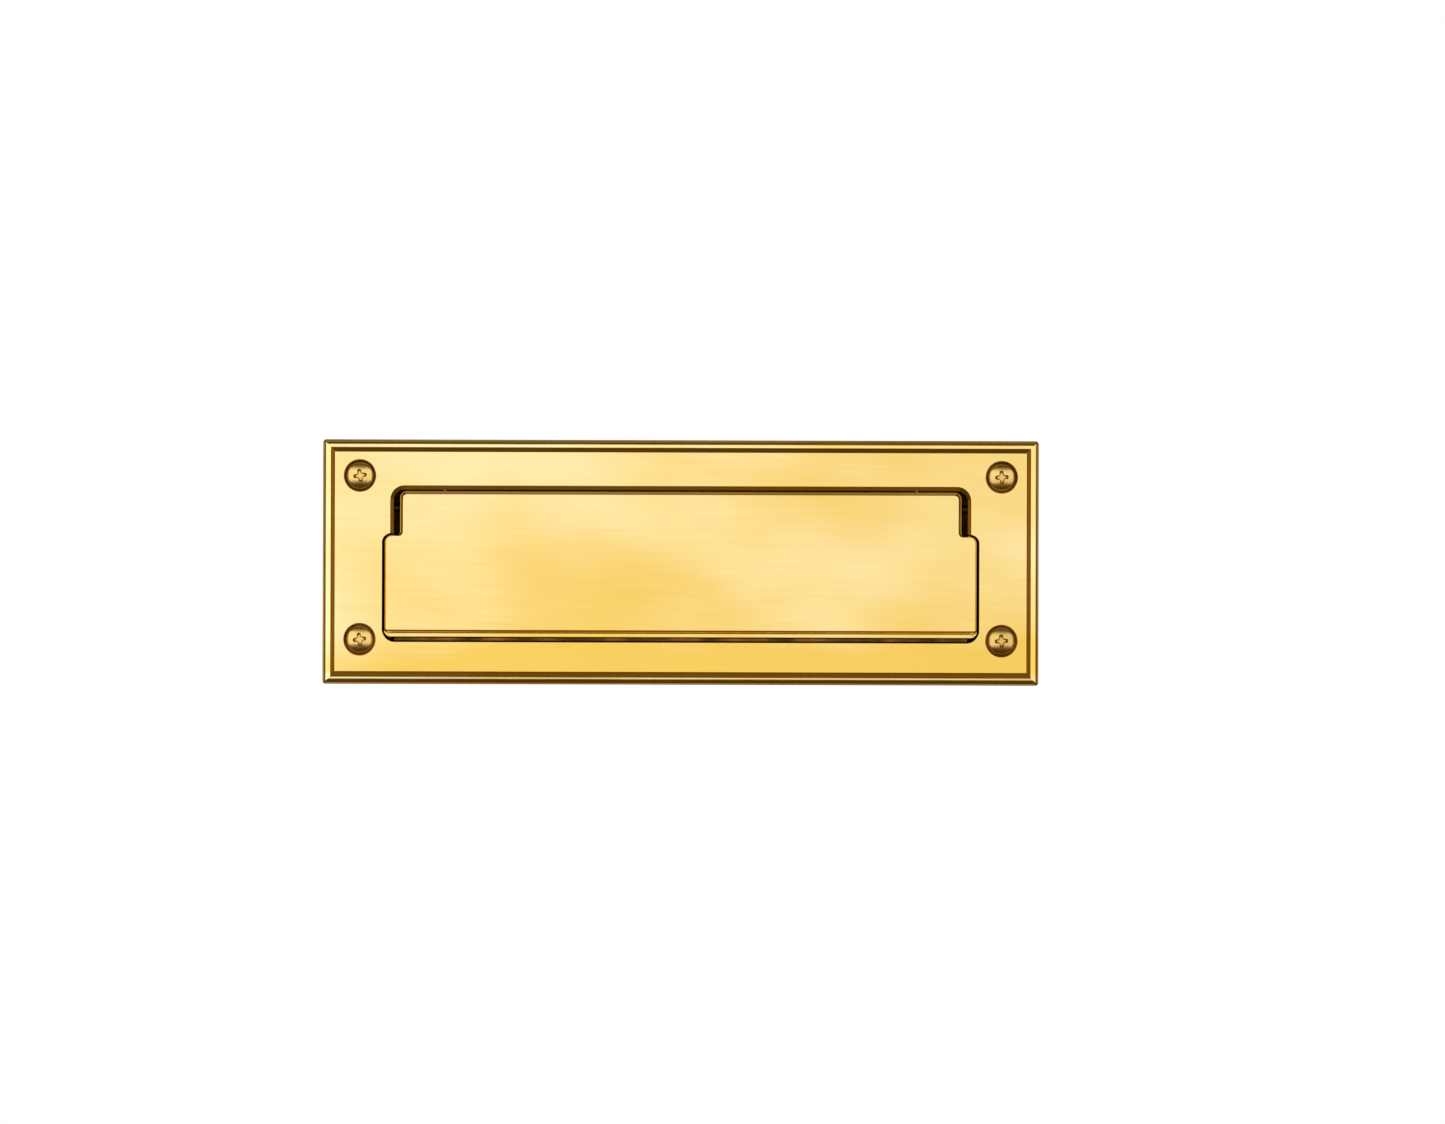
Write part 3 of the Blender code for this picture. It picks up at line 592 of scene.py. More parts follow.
BRASS = polished_brass("polished_brass", light=(0.93, 0.76, 0.38), deep=(0.85, 0.565, 0.100),
                       smooth=0.10, worn=0.15, marks=0.000005)
SCREW_BRASS = polished_brass("screw_brass", light=(0.80, 0.58, 0.19), deep=(0.66, 0.45, 0.12),
                             smooth=0.16, worn=0.23, marks=0.000008)
CAST_AND_PAINTED_SHADE = cast_brass_and_painted_shade()
SPRING = steel("spring_steel", (0.52, 0.52, 0.53), (0.36, 0.36, 0.375), 0.22)
# the near-black brown of the oxide pin also paints the shade in the hinge notches
PIN = steel("pin_steel", (0.060, 0.038, 0.018), (0.036, 0.022, 0.010), 0.38)
SLEEVE = rolled_aluminium()
FOAM = foam()
RUBBER = rubber()


# ---- outlines that change with depth -----------------------------------------------------------
def slot_outline(low_draft, high_draft, top_draft, bottom_draft):
    low = SLOT_HALF_LOW - low_draft
    high = SLOT_HALF_HIGH - high_draft
    top = SLOT_TOP - top_draft
    bottom = SLOT_BOTTOM + bottom_draft
    return outline((
        (-low, bottom, SLOT_CORNER_BOTTOM - bottom_draft),
        (low, bottom, SLOT_CORNER_BOTTOM - bottom_draft),
        (low, SLOT_STEP, SLOT_CORNER_STEP - low_draft),
        (high, SLOT_STEP, TINY_RADIUS),
        (high, top, SLOT_CORNER_TOP - high_draft),
        (-high, top, SLOT_CORNER_TOP - high_draft),
        (-high, SLOT_STEP, TINY_RADIUS),
        (-low, SLOT_STEP, SLOT_CORNER_STEP - low_draft),
    ))


def drafted_slot(share):
    """Slot outline at `share` of the full draft of its walls."""
    drafts = (SLOT_LOW_DRAFT, SLOT_HIGH_DRAFT, SLOT_TOP_DRAFT, SLOT_BOTTOM_DRAFT)
    return slot_outline(*[draft * share for draft in drafts])


def flap_outline(share, bottom, bottom_corner):
    """Flap outline drawn in by `share` of the edge rounding."""
    low = FLAP_HALF_LOW - FLAP_SIDE_ROUND * share
    high = FLAP_HALF_HIGH - FLAP_HIGH_ROUND * share
    top = FLAP_TOP - FLAP_TOP_ROUND * share
    shoulder = FLAP_SHOULDER - FLAP_SIDE_ROUND * share
    top_corner = FLAP_CORNER_TOP - FLAP_HIGH_ROUND * share
    notch = FLAP_CORNER_NOTCH + FLAP_SIDE_ROUND * share
    shoulder_corner = FLAP_CORNER_SHOULDER - FLAP_SIDE_ROUND * share
    return outline((
        (-low, bottom, bottom_corner),
        (low, bottom, bottom_corner),
        (low, shoulder, shoulder_corner),
        (high, shoulder, notch),
        (high, top, top_corner),
        (-high, top, top_corner),
        (-high, shoulder, notch),
        (-low, shoulder, shoulder_corner),
    ))


def plate_ring(inset, height):
    radius = max(PLATE_CORNER - inset, LEAST_CORNER)
    return rectangle(PLATE_HALF - inset, PLATE_RISE - inset, inset - PLATE_RISE, radius), -height


# ---- the pieces --------------------------------------------------------------------------------
def outer_plate():
    pocket_rise = PLATE_RISE - RIM_WIDTH
    pocket = rectangle(PLATE_HALF - RIM_WIDTH, pocket_rise, -pocket_rise, POCKET_CORNER)
    rings = [(pocket, -POCKET), (pocket, 0.0), plate_ring(0.0, 0.0)]
    for across, along in quarter():
        rings.append(plate_ring(BEAD_CREST * across, EDGE_FOOT + (BEAD_HEIGHT - EDGE_FOOT) * along))
    run = FACE_INSET - RISER_ROUND * math.sin(RISER_SLOPE) - RISER_FOOT
    round_foot = FACE_HEIGHT - RISER_ROUND * (1.0 - math.cos(RISER_SLOPE))
    rings.append(plate_ring(RISER_FOOT, round_foot - run * math.tan(RISER_SLOPE)))
    for step in range(ROUND_STEPS + 1):
        slope = RISER_SLOPE * (1.0 - step / ROUND_STEPS)
        height = FACE_HEIGHT - RISER_ROUND * (1.0 - math.cos(slope))
        rings.append(plate_ring(FACE_INSET - RISER_ROUND * math.sin(slope), height))
    plate = make("outer_plate_fine", loft(bmesh.new(), rings), [BRASS, CAST_AND_PAINTED_SHADE])

    axis = ANCHORS["outer_flap_hinge"]
    added = bmesh.new()
    for label in PLACES:
        x, z = screw_place(label)
        turned(added, x, z, ((BOSS_RADIUS, -POCKET - BITE), (BOSS_RADIUS, -CLEARANCE),
                             (BOSS_RADIUS - CLEARANCE, 0.0)))
    prism_pair(added, LUG_INNER, LUG_OUTER, ear_section(axis[1], axis[2], LUG_RADIUS, -POCKET - BITE))
    combine(plate, added, "UNION")

    rings = [(slot_outline(*[-OVERSHOOT] * 4), -FACE_HEIGHT - OVERSHOOT)]
    for across, along in quarter():
        share = along * SLOT_ARRIS_SHARE
        rings.append((drafted_slot(share), -FACE_HEIGHT + SLOT_ARRIS_DEPTH * across))
    rings.append((drafted_slot(1.0), -FACE_HEIGHT + SLOT_ROUND_DEPTH))
    rings.append((drafted_slot(1.0), -POCKET + OVERSHOOT))
    combine(plate, loft(bmesh.new(), rings), "DIFFERENCE")

    bore = SHANK_RADIUS + CLEARANCE
    sink = (COUNTERSINK_RADIUS - bore) / math.tan(CONE_HALF_ANGLE)
    holes = bmesh.new()
    for label in PLACES:
        x, z = screw_place(label)
        profile = [(COUNTERSINK_MOUTH, -FACE_HEIGHT - OVERSHOOT)]
        for across, along in quarter(4):
            profile.append((COUNTERSINK_RADIUS + ARRIS * (1.0 - along), -FACE_HEIGHT + ARRIS * across))
        profile += [(bore, -FACE_HEIGHT + sink), (bore, OVERSHOOT)]
        turned(holes, x, z, profile, HEAD_SIDES)
    pin_bores(holes, axis, LUG_INNER, LUG_OUTER, PIN_RADIUS)
    combine(plate, holes, "DIFFERENCE")
    paint_rear(plate, 1, -POCKET - BITE, pocket_rise - BITE)
    # the countersunk cones stay unpolished, and the darker cast brass on them paints shade into these
    # recesses
    for label in PLACES:
        x, z = screw_place(label)
        for face in plate.data.polygons:
            reach = math.hypot(face.center.x - x, face.center.z - z)
            if reach < COUNTERSINK_RADIUS and face.center.y > -FACE_HEIGHT + ARRIS * 0.5:
                face.material_index = 1
    return settle(plate, "outer_plate", "outer_body")


def outer_flap():
    rear = FLAP_FACE - FLAP_THICKNESS
    span = FLAP_STEP_TOP - FLAP_STEP_FOOT

    def edge_share(depth):
        """Share of the edge rounding at `depth`: a small round, then a flat bevel."""
        if depth < FLAP_ARRIS_DEPTH:
            return 1.0 - (1.0 - FLAP_ARRIS_SHARE) * math.sqrt(depth / FLAP_ARRIS_DEPTH)
        left = FLAP_EDGE_DEPTH - depth
        return FLAP_ARRIS_SHARE * max(left / (FLAP_EDGE_DEPTH - FLAP_ARRIS_DEPTH), 0.0)

    stages = []
    for step in range(FLAP_STEP_STEPS + 1):
        along = step / FLAP_STEP_STEPS
        curved = along * along * (3.0 - 2.0 * along)
        drop = FLAP_STEP_STRAIGHT * along + (1.0 - FLAP_STEP_STRAIGHT) * curved
        corner = TINY_RADIUS + (FLAP_STEP_CORNER - TINY_RADIUS) * along
        stages.append((FLAP_STEP_DEPTH * drop, FLAP_STEP_TOP - span * along, corner))
    for across, along in quarter(5):
        bottom = FLAP_BOTTOM + FLAP_LIP_ROUND * (1.0 - along)
        depth = FLAP_LIP_DEPTH + FLAP_LIP_ROUND * across
        stages.append((depth, bottom, FLAP_CORNER_BOTTOM + FLAP_LIP_ROUND * along))
    stages.append((FLAP_EDGE_DEPTH, FLAP_BOTTOM, FLAP_CORNER_BOTTOM + FLAP_LIP_ROUND))
    stages.append((FLAP_THICKNESS - CLEARANCE, FLAP_BOTTOM, FLAP_CORNER_BOTTOM + FLAP_LIP_ROUND))
    rings = []
    for depth, bottom, corner in stages:
        rings.append((flap_outline(edge_share(depth), bottom, corner), depth - FLAP_FACE))
    rings.append((flap_outline(FLAP_REAR_SHARE, FLAP_BOTTOM + CLEARANCE, FLAP_CORNER_BOTTOM), -rear))
    flap = make("outer_flap_fine", loft(bmesh.new(), rings), [BRASS, CAST_AND_PAINTED_SHADE])

    axis = ANCHORS["outer_flap_hinge"]
    added = bmesh.new()
    front = -STOP_FRONT
    shelf = FLAP_BOTTOM + BITE
    foot = FLAP_LOW.z
    prism(added, -STOP_HALF, STOP_HALF, (
        (-rear - BITE, STOP_ROOT),
        (front + STOP_THICKNESS, STOP_ROOT),
        (front + STOP_THICKNESS, foot + CLEARANCE),
        (front + STOP_THICKNESS - CLEARANCE, foot),
        (front + CLEARANCE, foot),
        (front, foot + CLEARANCE),
        (front, shelf),
        (-rear - BITE, shelf),
    ))
    section = ear_section(axis[1], axis[2], LUG_RADIUS, -rear - BITE)
    prism_pair(added, KNUCKLE_INNER, KNUCKLE_OUTER, section)
    combine(flap, added, "UNION")
    holes = bmesh.new()
    pin_bores(holes, axis, KNUCKLE_INNER, KNUCKLE_OUTER, PIN_RADIUS)
    combine(flap, holes, "DIFFERENCE")
    # the stop ledge seen through the gap under the lip gets the dark cast brass, which paints the shade in
    # that gap
    paint_rear(flap, 1, -rear - BITE, PLATE_RISE)
    return settle(flap, "outer_flap", "outer_flap_body")


def middle(node):
    """X and Z of the middle of a node's box."""
    low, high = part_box(node)
    return (low.x + high.x) / 2.0, (low.z + high.z) / 2.0


def screw_place(label):
    return middle(f"plate_screw_{label}")


def thread(shape, x, z, start, end, sides):
    """A screw thread between two y values. Returns its first and last rings, at root radius."""
    steps = THREAD_STEPS
    root = SHANK_RADIUS - THREAD_DEPTH
    total = (end - start) / THREAD_PITCH
    made = {}

    def corner(column, row):
        turns = row / steps + column / sides
        side = column % sides
        if turns <= 0.0:
            key, y, radius = (side, "start"), start, root
        elif turns >= total:
            key, y, radius = (side, "end"), end, root
        else:
            key = (side, row + steps * (column // sides))
            y = start + turns * THREAD_PITCH
            radius = root + THREAD_DEPTH * (1.0 - abs(2.0 * (row % steps) / steps - 1.0))
        if key not in made:
            turn = 2.0 * math.pi * side / sides
            made[key] = shape.verts.new((x + radius * math.cos(turn), y, z + radius * math.sin(turn)))
        return made[key]

    for row in range(-steps, int(total * steps) + 1):
        for column in range(sides):
            corners = (corner(column, row), corner(column + 1, row),
                       corner(column + 1, row + 1), corner(column, row + 1))
            kept = list(dict.fromkeys(corners))
            if len(kept) > 2:
                shape.faces.new(kept)
    first = [made[(side, "start")] for side in range(sides)]
    last = [made[(side, "end")] for side in range(sides)]
    return first, last


def cut_recess(screw, x, z, crown):
    """Cuts the cross recess: two tapering slots with round ends and a square hollow between them."""
    mouth = crown - OVERSHOOT
    foot = crown + CROSS_DEPTH
    start_turn = CROSS_TURN_LEFT if x < 0.0 else CROSS_TURN_RIGHT
    for quarter_turn in range(2):
        turn = start_turn + quarter_turn * math.pi / 2.0
        along = Vector((math.cos(turn), math.sin(turn)))
        across = Vector((-math.sin(turn), math.cos(turn)))
        rings = []
        for y, long_scale, wide_scale in (
            (mouth, 1.0, CROSS_MOUTH_WIDE),
            (crown, 1.0, CROSS_FACE_WIDE),
            (foot, CROSS_FOOT_LONG, CROSS_FOOT_WIDE),
        ):
            length = CROSS_LENGTH / 2.0 * long_scale
            width = CROSS_WIDTH / 2.0 * wide_scale
            points = []
            for end in (1.0, -1.0):
                for step in range(CROSS_STEPS + 1):
                    swing = math.pi * (step / CROSS_STEPS - 0.5)
                    offset = along * (length - width + width * math.cos(swing))
                    offset += across * width * math.sin(swing)
                    points.append((x + end * offset.x, z + end * offset.y))
            rings.append((points, y))
        combine(screw, loft(bmesh.new(), rings), "DIFFERENCE")
    rings = []
    for y, size in ((mouth, CROSS_CENTRE), (crown, CROSS_CENTRE), (foot, CROSS_CENTRE_FOOT)):
        points = []
        for step in range(4):
            turn = start_turn + math.pi / 2.0 * step
            points.append((x + size * math.cos(turn), z + size * math.sin(turn)))
        rings.append((points, y))
    combine(screw, loft(bmesh.new(), rings), "DIFFERENCE")


def plate_screw(label):
    """An oval head with its cone, a threaded shank and a tapered point."""
    x, z = screw_place(label)
    rim = FACE_HEIGHT - HEAD_SUNK
    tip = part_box(f"plate_screw_{label}")[1].y
    sides = HEAD_SIDES // 2
    cone_end = -rim + (HEAD_RADIUS - SHANK_RADIUS) / math.tan(CONE_HALF_ANGLE)
    profile = []
    for step in range(1, DOME_STEPS + 1):
        share = step / DOME_STEPS
        profile.append((HEAD_FLAT * share, -rim - HEAD_DOME + HEAD_FALL * share * share))
    drop = HEAD_DOME - HEAD_FALL
    for step in range(1, SHOULDER_STEPS + 1):
        share = step / SHOULDER_STEPS
        profile.append((HEAD_FLAT + (HEAD_RADIUS - HEAD_FLAT) * share,
                        -rim - drop + drop * share * (1.0 + share) / 2.0))
    profile += [
        (HEAD_RADIUS - HEAD_RIM_IN, -rim + HEAD_RIM_DEEP),
        (SHANK_RADIUS + SHANK_EASE, cone_end - SHANK_EASE),
        (SHANK_RADIUS, cone_end + SHANK_EASE),
        (SHANK_RADIUS, THREAD_START - THREAD_RUN_IN),
    ]
    shape = bmesh.new()
    rows = []
    for radius, y in profile:
        rows.append([shape.verts.new((px, y, pz)) for px, pz in circle(x, z, radius, sides)])
    first, last = thread(shape, x, z, THREAD_START, tip - SCREW_POINT, sides)
    rows.append(first)
    join_rows(shape, rows)
    shape.faces.new(rows[0])
    tip_radius = SHANK_RADIUS - THREAD_DEPTH - POINT_TAPER
    point = [shape.verts.new((px, tip, pz)) for px, pz in circle(x, z, tip_radius, sides)]
    join_rows(shape, (last, point))
    shape.faces.new(point)
    screw = make(f"plate_screw_{label}_fine", shape, [SCREW_BRASS])

    cut_recess(screw, x, z, -rim - HEAD_DOME)
    return settle(screw, f"plate_screw_{label}", "outer_body")


def threaded_post(label):
    """A blind post with chamfered ends and grip grooves turned round it near its mouth."""
    low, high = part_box(f"threaded_post_{label}")
    x, z = middle(f"threaded_post_{label}")
    bore = SHANK_RADIUS + CLEARANCE
    profile = [
        (bore, high.y - POST_WALL),
        (bore, low.y + POST_EDGE),
        (bore + POST_EDGE, low.y),
        (POST_RADIUS - POST_EDGE, low.y),
        (POST_RADIUS, low.y + POST_EDGE),
    ]
    deep = POST_RADIUS - POST_GROOVE
    for turn in range(POST_GROOVES):
        y = low.y + POST_GROOVES_AT + turn * POST_GROOVE_PITCH
        floor = y + POST_GROOVE_WALL
        floor_end = floor + POST_GROOVE_FLOOR
        profile += [(POST_RADIUS, y), (deep, floor), (deep, floor_end),
                    (POST_RADIUS, floor_end + POST_GROOVE_WALL)]
    profile += [(POST_RADIUS, high.y - POST_EDGE), (POST_RADIUS - POST_EDGE, high.y)]
    post = make(f"threaded_post_{label}_fine", turned(bmesh.new(), x, z, profile), [SCREW_BRASS])
    return settle(post, f"threaded_post_{label}", "inner_body")


def hinge_pin(node, body, radius, joint, clip_at):
    """A straight pin with chamfered ends and a groove for the clip at each end."""
    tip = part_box(node)[1].x
    axis = ANCHORS[joint]
    start = clip_at + GROOVE_START
    end = clip_at + GROOVE_END
    deep = radius - GROOVE_DEPTH
    half = [(radius, start), (deep, start), (deep, end), (radius, end),
            (radius, tip - PIN_CHAMFER), (radius - PIN_CHAMFER, tip)]
    profile = [(reach, -x) for reach, x in reversed(half)] + half
    pin = make(f"{node}_fine", turned_across(bmesh.new(), axis[1], axis[2], profile), [PIN])
    return settle(pin, node, body)


def pin_clip(node, body, pin_radius, joint):
    """An open spring ring with three inner fingers, pressed from strip with rounded edges."""
    low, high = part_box(node)
    _, axis_y, axis_z = ANCHORS[joint]
    outer = max(high.z - axis_z, axis_z - low.z)
    sweep = 2.0 * math.pi - CLIP_OPENING
    edge = CLIP_EDGE
    shape = bmesh.new()
    rows = []
    for step in range(ROUND_SIDES + 1):
        turn = math.pi / 2.0 + CLIP_OPENING / 2.0 + sweep * step / ROUND_SIDES
        finger = max(math.cos(CLIP_FINGERS * (turn + math.pi / 2.0)), 0.0) ** 4
        inner = pin_radius + CLIP_REACH - CLIP_FINGER * finger
        row = []
        for x, radius in ((low.x, inner + edge), (low.x, outer - edge), (low.x + edge, outer),
                          (high.x - edge, outer), (high.x, outer - edge), (high.x, inner + edge),
                          (high.x - edge, inner), (low.x + edge, inner)):
            y = axis_y + radius * math.cos(turn)
            row.append(shape.verts.new((x, y, axis_z + radius * math.sin(turn))))
        rows.append(row)
    join_and_cap(shape, rows)
    clip = make(f"{node}_fine", shape, [SPRING])
    return settle(clip, node, body)


def torsion_spring(label, side):
    """A wire coil round the hinge pin, one leg down the flap and one leg up the plate."""
    axis = Vector(ANCHORS["outer_flap_hinge"])
    axis.x = 0.0
    total = COIL_TURNS * COIL_STEPS
    start = axis + Vector((side * COIL_START, 0.0, 0.0))
    front = Vector((0.0, -COIL_RADIUS, 0.0))
    centres = [start + front - Vector((0.0, 0.0, LEG_DOWN))]
    centres.append(start + front - Vector((0.0, 0.0, LEG_DOWN * 0.5)))
    for step in range(total + 1):
        turn = math.pi + 2.0 * math.pi * step / COIL_STEPS
        swing = Vector((0.0, COIL_RADIUS * math.cos(turn), -COIL_RADIUS * math.sin(turn)))
        centres.append(start + Vector((side * COIL_LENGTH * step / total, 0.0, 0.0)) + swing)
    centres.append(centres[-1] + Vector((0.0, 0.0, LEG_UP * 0.5)))
    centres.append(centres[-1] + Vector((0.0, 0.0, LEG_UP * 0.5)))
    shape = bmesh.new()
    rows = []
    sideways = Vector((1.0, 0.0, 0.0))
    for index, centre in enumerate(centres):
        before = centres[max(index - 1, 0)]
        after = centres[min(index + 1, len(centres) - 1)]
        along = (after - before).normalized()
        normal = along.cross(sideways).normalized()
        other = along.cross(normal).normalized()
        section = circle(0.0, 0.0, WIRE_RADIUS, WIRE_SIDES)
        rows.append([shape.verts.new(centre + normal * p + other * q) for p, q in section])
    join_and_cap(shape, rows)
    node = f"torsion_spring_{label}"
    spring = make(f"{node}_fine", shape, [SPRING])
    spring.data.shade_smooth()
    spring.data.set_sharp_from_angle(angle=SHARP_ANGLE)
    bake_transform(spring)
    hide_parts(node)
    return spring


def foam_gasket():
    outer_half, outer_rise = GASKET_HIGH.x, GASKET_HIGH.z
    soft = GASKET_SOFT
    rings = []

    def outer(inset):
        return rectangle(outer_half - inset, outer_rise - inset, inset - outer_rise, POCKET_CORNER)

    def inner(inset):
        top = GASKET_TOP + inset
        bottom = GASKET_BOTTOM - inset
        return rectangle(GASKET_HALF + inset, top, bottom, POCKET_CORNER + inset)

    arc = quarter(3)
    for ring, face, inward, turns in (
        (outer, GASKET_LOW.y, 1.0, arc),
        (outer, GASKET_HIGH.y, -1.0, arc[::-1]),
        (inner, GASKET_HIGH.y, -1.0, arc),
        (inner, GASKET_LOW.y, 1.0, arc[::-1]),
    ):
        for across, along in turns:
            rings.append((ring(soft * (1.0 - along)), face + inward * soft * across))
    seal = make("foam_gasket_fine", loft(bmesh.new(), rings, capped=False), [FOAM])
    holes = bmesh.new()
    for label in PLACES:
        x, z = screw_place(label)
        radius = BOSS_RADIUS + CLEARANCE
        turned(holes, x, z, ((radius, GASKET_LOW.y - OVERSHOOT), (radius, OVERSHOOT)))
    combine(seal, holes, "DIFFERENCE")
    return settle(seal, "foam_gasket", "outer_body")


def tunnel_ring(spread):
    top = TUNNEL_TOP + spread
    bottom = TUNNEL_BOTTOM - spread
    return rectangle(TUNNEL_HALF + spread, top, bottom, TUNNEL_CORNER + spread)


def sleeve(node, body, inside, flange_in_front):
    """Folded sheet tunnel: a rounded bend out to its flange and eased sheet edges.

    `inside` is how far its inner wall stands outside the tunnel; its flange fills the node's box.
    """
    low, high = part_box(node)
    outside = inside + SHEET
    ease = SHEET_EASE
    way = 1.0 if flange_in_front else -1.0
    base, far = (low.y, high.y) if flange_in_front else (high.y, low.y)

    def flange_ring(inset):
        return rectangle(high.x - inset, high.z - inset, low.z + inset, TUNNEL_CORNER + outside)

    rings = []
    for across, along in quarter(5):
        reach = base + way * SHEET_BEND * (1.0 - along)
        rings.append((tunnel_ring(inside + SHEET_BEND * across), reach))
    rings += [
        (flange_ring(ease), base),
        (flange_ring(0.0), base + way * ease),
        (flange_ring(0.0), base + way * (SHEET - ease)),
        (flange_ring(ease), base + way * SHEET),
        (tunnel_ring(outside + ease), base + way * SHEET),
        (tunnel_ring(outside), base + way * (SHEET + ease)),
        (tunnel_ring(outside), far - way * ease),
        (tunnel_ring(outside - ease), far),
        (tunnel_ring(inside + ease), far),
        (tunnel_ring(inside), far - way * ease),
    ]
    piece = make(f"{node}_fine", loft(bmesh.new(), rings, capped=False), [SLEEVE])
    return settle(piece, node, body)


def inner_plate():
    front = FRAME_BACK + FRAME_THICKNESS
    rebate_top = TUNNEL_TOP + SHEET + REBATE_END + CLEARANCE
    rebate_bottom = TUNNEL_BOTTOM - SHEET - REBATE_END - CLEARANCE
    rebate_half = TUNNEL_HALF + SHEET + REBATE_SIDE + CLEARANCE
    rebate = rectangle(rebate_half, rebate_top, rebate_bottom, TUNNEL_CORNER)
    rings = []

    def edge(inset):
        return rectangle(PLATE_HALF - inset, PLATE_RISE - inset, inset - PLATE_RISE, FRAME_CORNER)

    def flared(spread):
        top = INNER_TOP + spread
        bottom = INNER_BOTTOM - spread
        return rectangle(INNER_HALF + spread, top, bottom, INNER_CORNER + spread)

    rings.append((edge(FRAME_EASE), FRAME_BACK))
    rings.append((edge(0.0), FRAME_BACK + FRAME_EASE))
    for across, along in quarter():
        rings.append((edge(FRAME_ROUND * across), front - FRAME_ROUND * (1.0 - along)))
    for across, along in reversed(quarter()):
        rings.append((flared(INNER_EDGE * across), front - INNER_EDGE * (1.0 - along)))
    rings += [
        (flared(0.0), FRAME_BACK + REBATE_DEPTH),
        (rebate, FRAME_BACK + REBATE_DEPTH),
        (rebate, FRAME_BACK),
    ]
    plate = make("inner_plate_fine", loft(bmesh.new(), rings, capped=False), [BRASS, CAST_AND_PAINTED_SHADE])
    axis = ANCHORS["inner_flap_hinge"]
    added = bmesh.new()
    section = ear_section(axis[1], axis[2], INNER_HINGE_RADIUS, front - BITE)
    prism_pair(added, INNER_LUG_INNER, INNER_LUG_OUTER, section)
    combine(plate, added, "UNION")
    holes = bmesh.new()
    for label in PLACES:
        x, z = screw_place(label)
        socket = POST_RADIUS + CLEARANCE
        turned(holes, x, z, ((socket, FRAME_BACK - OVERSHOOT), (socket, FRAME_BACK + POST_SOCKET)))
    pin_bores(holes, axis, INNER_LUG_INNER, INNER_LUG_OUTER, INNER_PIN_RADIUS)
    combine(plate, holes, "DIFFERENCE")
    # the side towards the door stays as cast
    for face in plate.data.polygons:
        if face.center.y < FRAME_BACK + POST_SOCKET and face.normal.y < -0.5:
            face.material_index = 1
    return settle(plate, "inner_plate", "inner_body")


def inner_flap():
    front = FRAME_BACK + FRAME_THICKNESS + INNER_FLAP_GAP
    rear = front + INNER_FLAP_THICKNESS
    rings = []

    def ring(inset):
        corner = INNER_FLAP_CORNER - inset
        return rectangle(INNER_FLAP_HALF - inset, INNER_FLAP_TOP - inset, INNER_FLAP_BOTTOM + inset, corner)

    for across, along in quarter(4):
        rings.append((ring(INNER_FLAP_EASE * (1.0 - along)), front + INNER_FLAP_EASE * across))
    for across, along in quarter():
        rings.append((ring(INNER_FLAP_ROUND * across), rear - INNER_FLAP_ROUND * (1.0 - along)))
    flap = make("inner_flap_fine", loft(bmesh.new(), rings), [BRASS, CAST_AND_PAINTED_SHADE])
    axis = ANCHORS["inner_flap_hinge"]
    radius = INNER_HINGE_RADIUS
    section = []
    half = ROUND_SIDES // 2
    for step in range(half + 1):
        turn = math.pi - math.pi * step / half
        section.append((axis[1] + radius * math.cos(turn), axis[2] + radius * math.sin(turn)))
    section += [
        (axis[1] + radius, INNER_FLAP_TOP),
        (rear - BITE, ARM_FOOT),
        (front + BITE, ARM_FOOT),
        (front + BITE, INNER_FLAP_TOP),
    ]
    added = bmesh.new()
    prism_pair(added, INNER_KNUCKLE_INNER, INNER_KNUCKLE_OUTER, section)
    combine(flap, added, "UNION")
    holes = bmesh.new()
    pin_bores(holes, axis, INNER_KNUCKLE_INNER, INNER_KNUCKLE_OUTER, INNER_PIN_RADIUS)
    combine(flap, holes, "DIFFERENCE")
    # the side towards the street stays as cast, and its dark cast brass paints the shade seen down the
    # tunnel
    for face in flap.data.polygons:
        if face.normal.y < -0.9:
            face.material_index = 1
    return settle(flap, "inner_flap", "inner_flap_body")


def bumper(node, body, way):
    """A moulded pad with a soft rounded face; `way` is the direction of that face along Y."""
    low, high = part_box(node)
    x, z = middle(node)
    radius = high.x - x
    base, top = (low.y, high.y) if way > 0.0 else (high.y, low.y)
    soft = abs(top - base) * PAD_SOFT
    profile = [(radius, base)]
    for across, along in quarter(5):
        profile.append((radius - soft * across, top - way * soft * (1.0 - along)))
    profile.append((radius * PAD_FLAT, top))
    pad = make(f"{node}_fine", turned(bmesh.new(), x, z, profile, PAD_SIDES), [RUBBER])
    return settle(pad, node, body)


# ---- floor, light and camera -------------------------------------------------------------------
FLOOR_DROP = 0.45
FLOOR_SIZE = 7.0
CAMERA_DISTANCE = 3.0
CAMERA_BELOW = math.radians(0.5)
CAMERA_ROLL = math.radians(0.17)
CAMERA_ASIDE = 0.01576
CAMERA_RAISE = 0.0002
FRAME_WIDTH = 0.5443
SENSOR = 36.0


def pale_floor():
    shape = bmesh.new()
    bmesh.ops.create_grid(shape, x_segments=1, y_segments=1, size=FLOOR_SIZE / 2.0)
    material, wires, shader = new_material("pale_floor", metallic=0.0)
    soft = wires.noise((3.0, 3.0, 3.0), detail=2.0)
    wires.link(wires.blend(soft, (0.83, 0.83, 0.82), (0.87, 0.87, 0.86)), shader.inputs["Base Color"])
    shader.inputs["Roughness"].default_value = 0.9
    floor = make("floor", shape, [material])
    floor.location.z = -FLOOR_DROP
    floor.visible_glossy = False


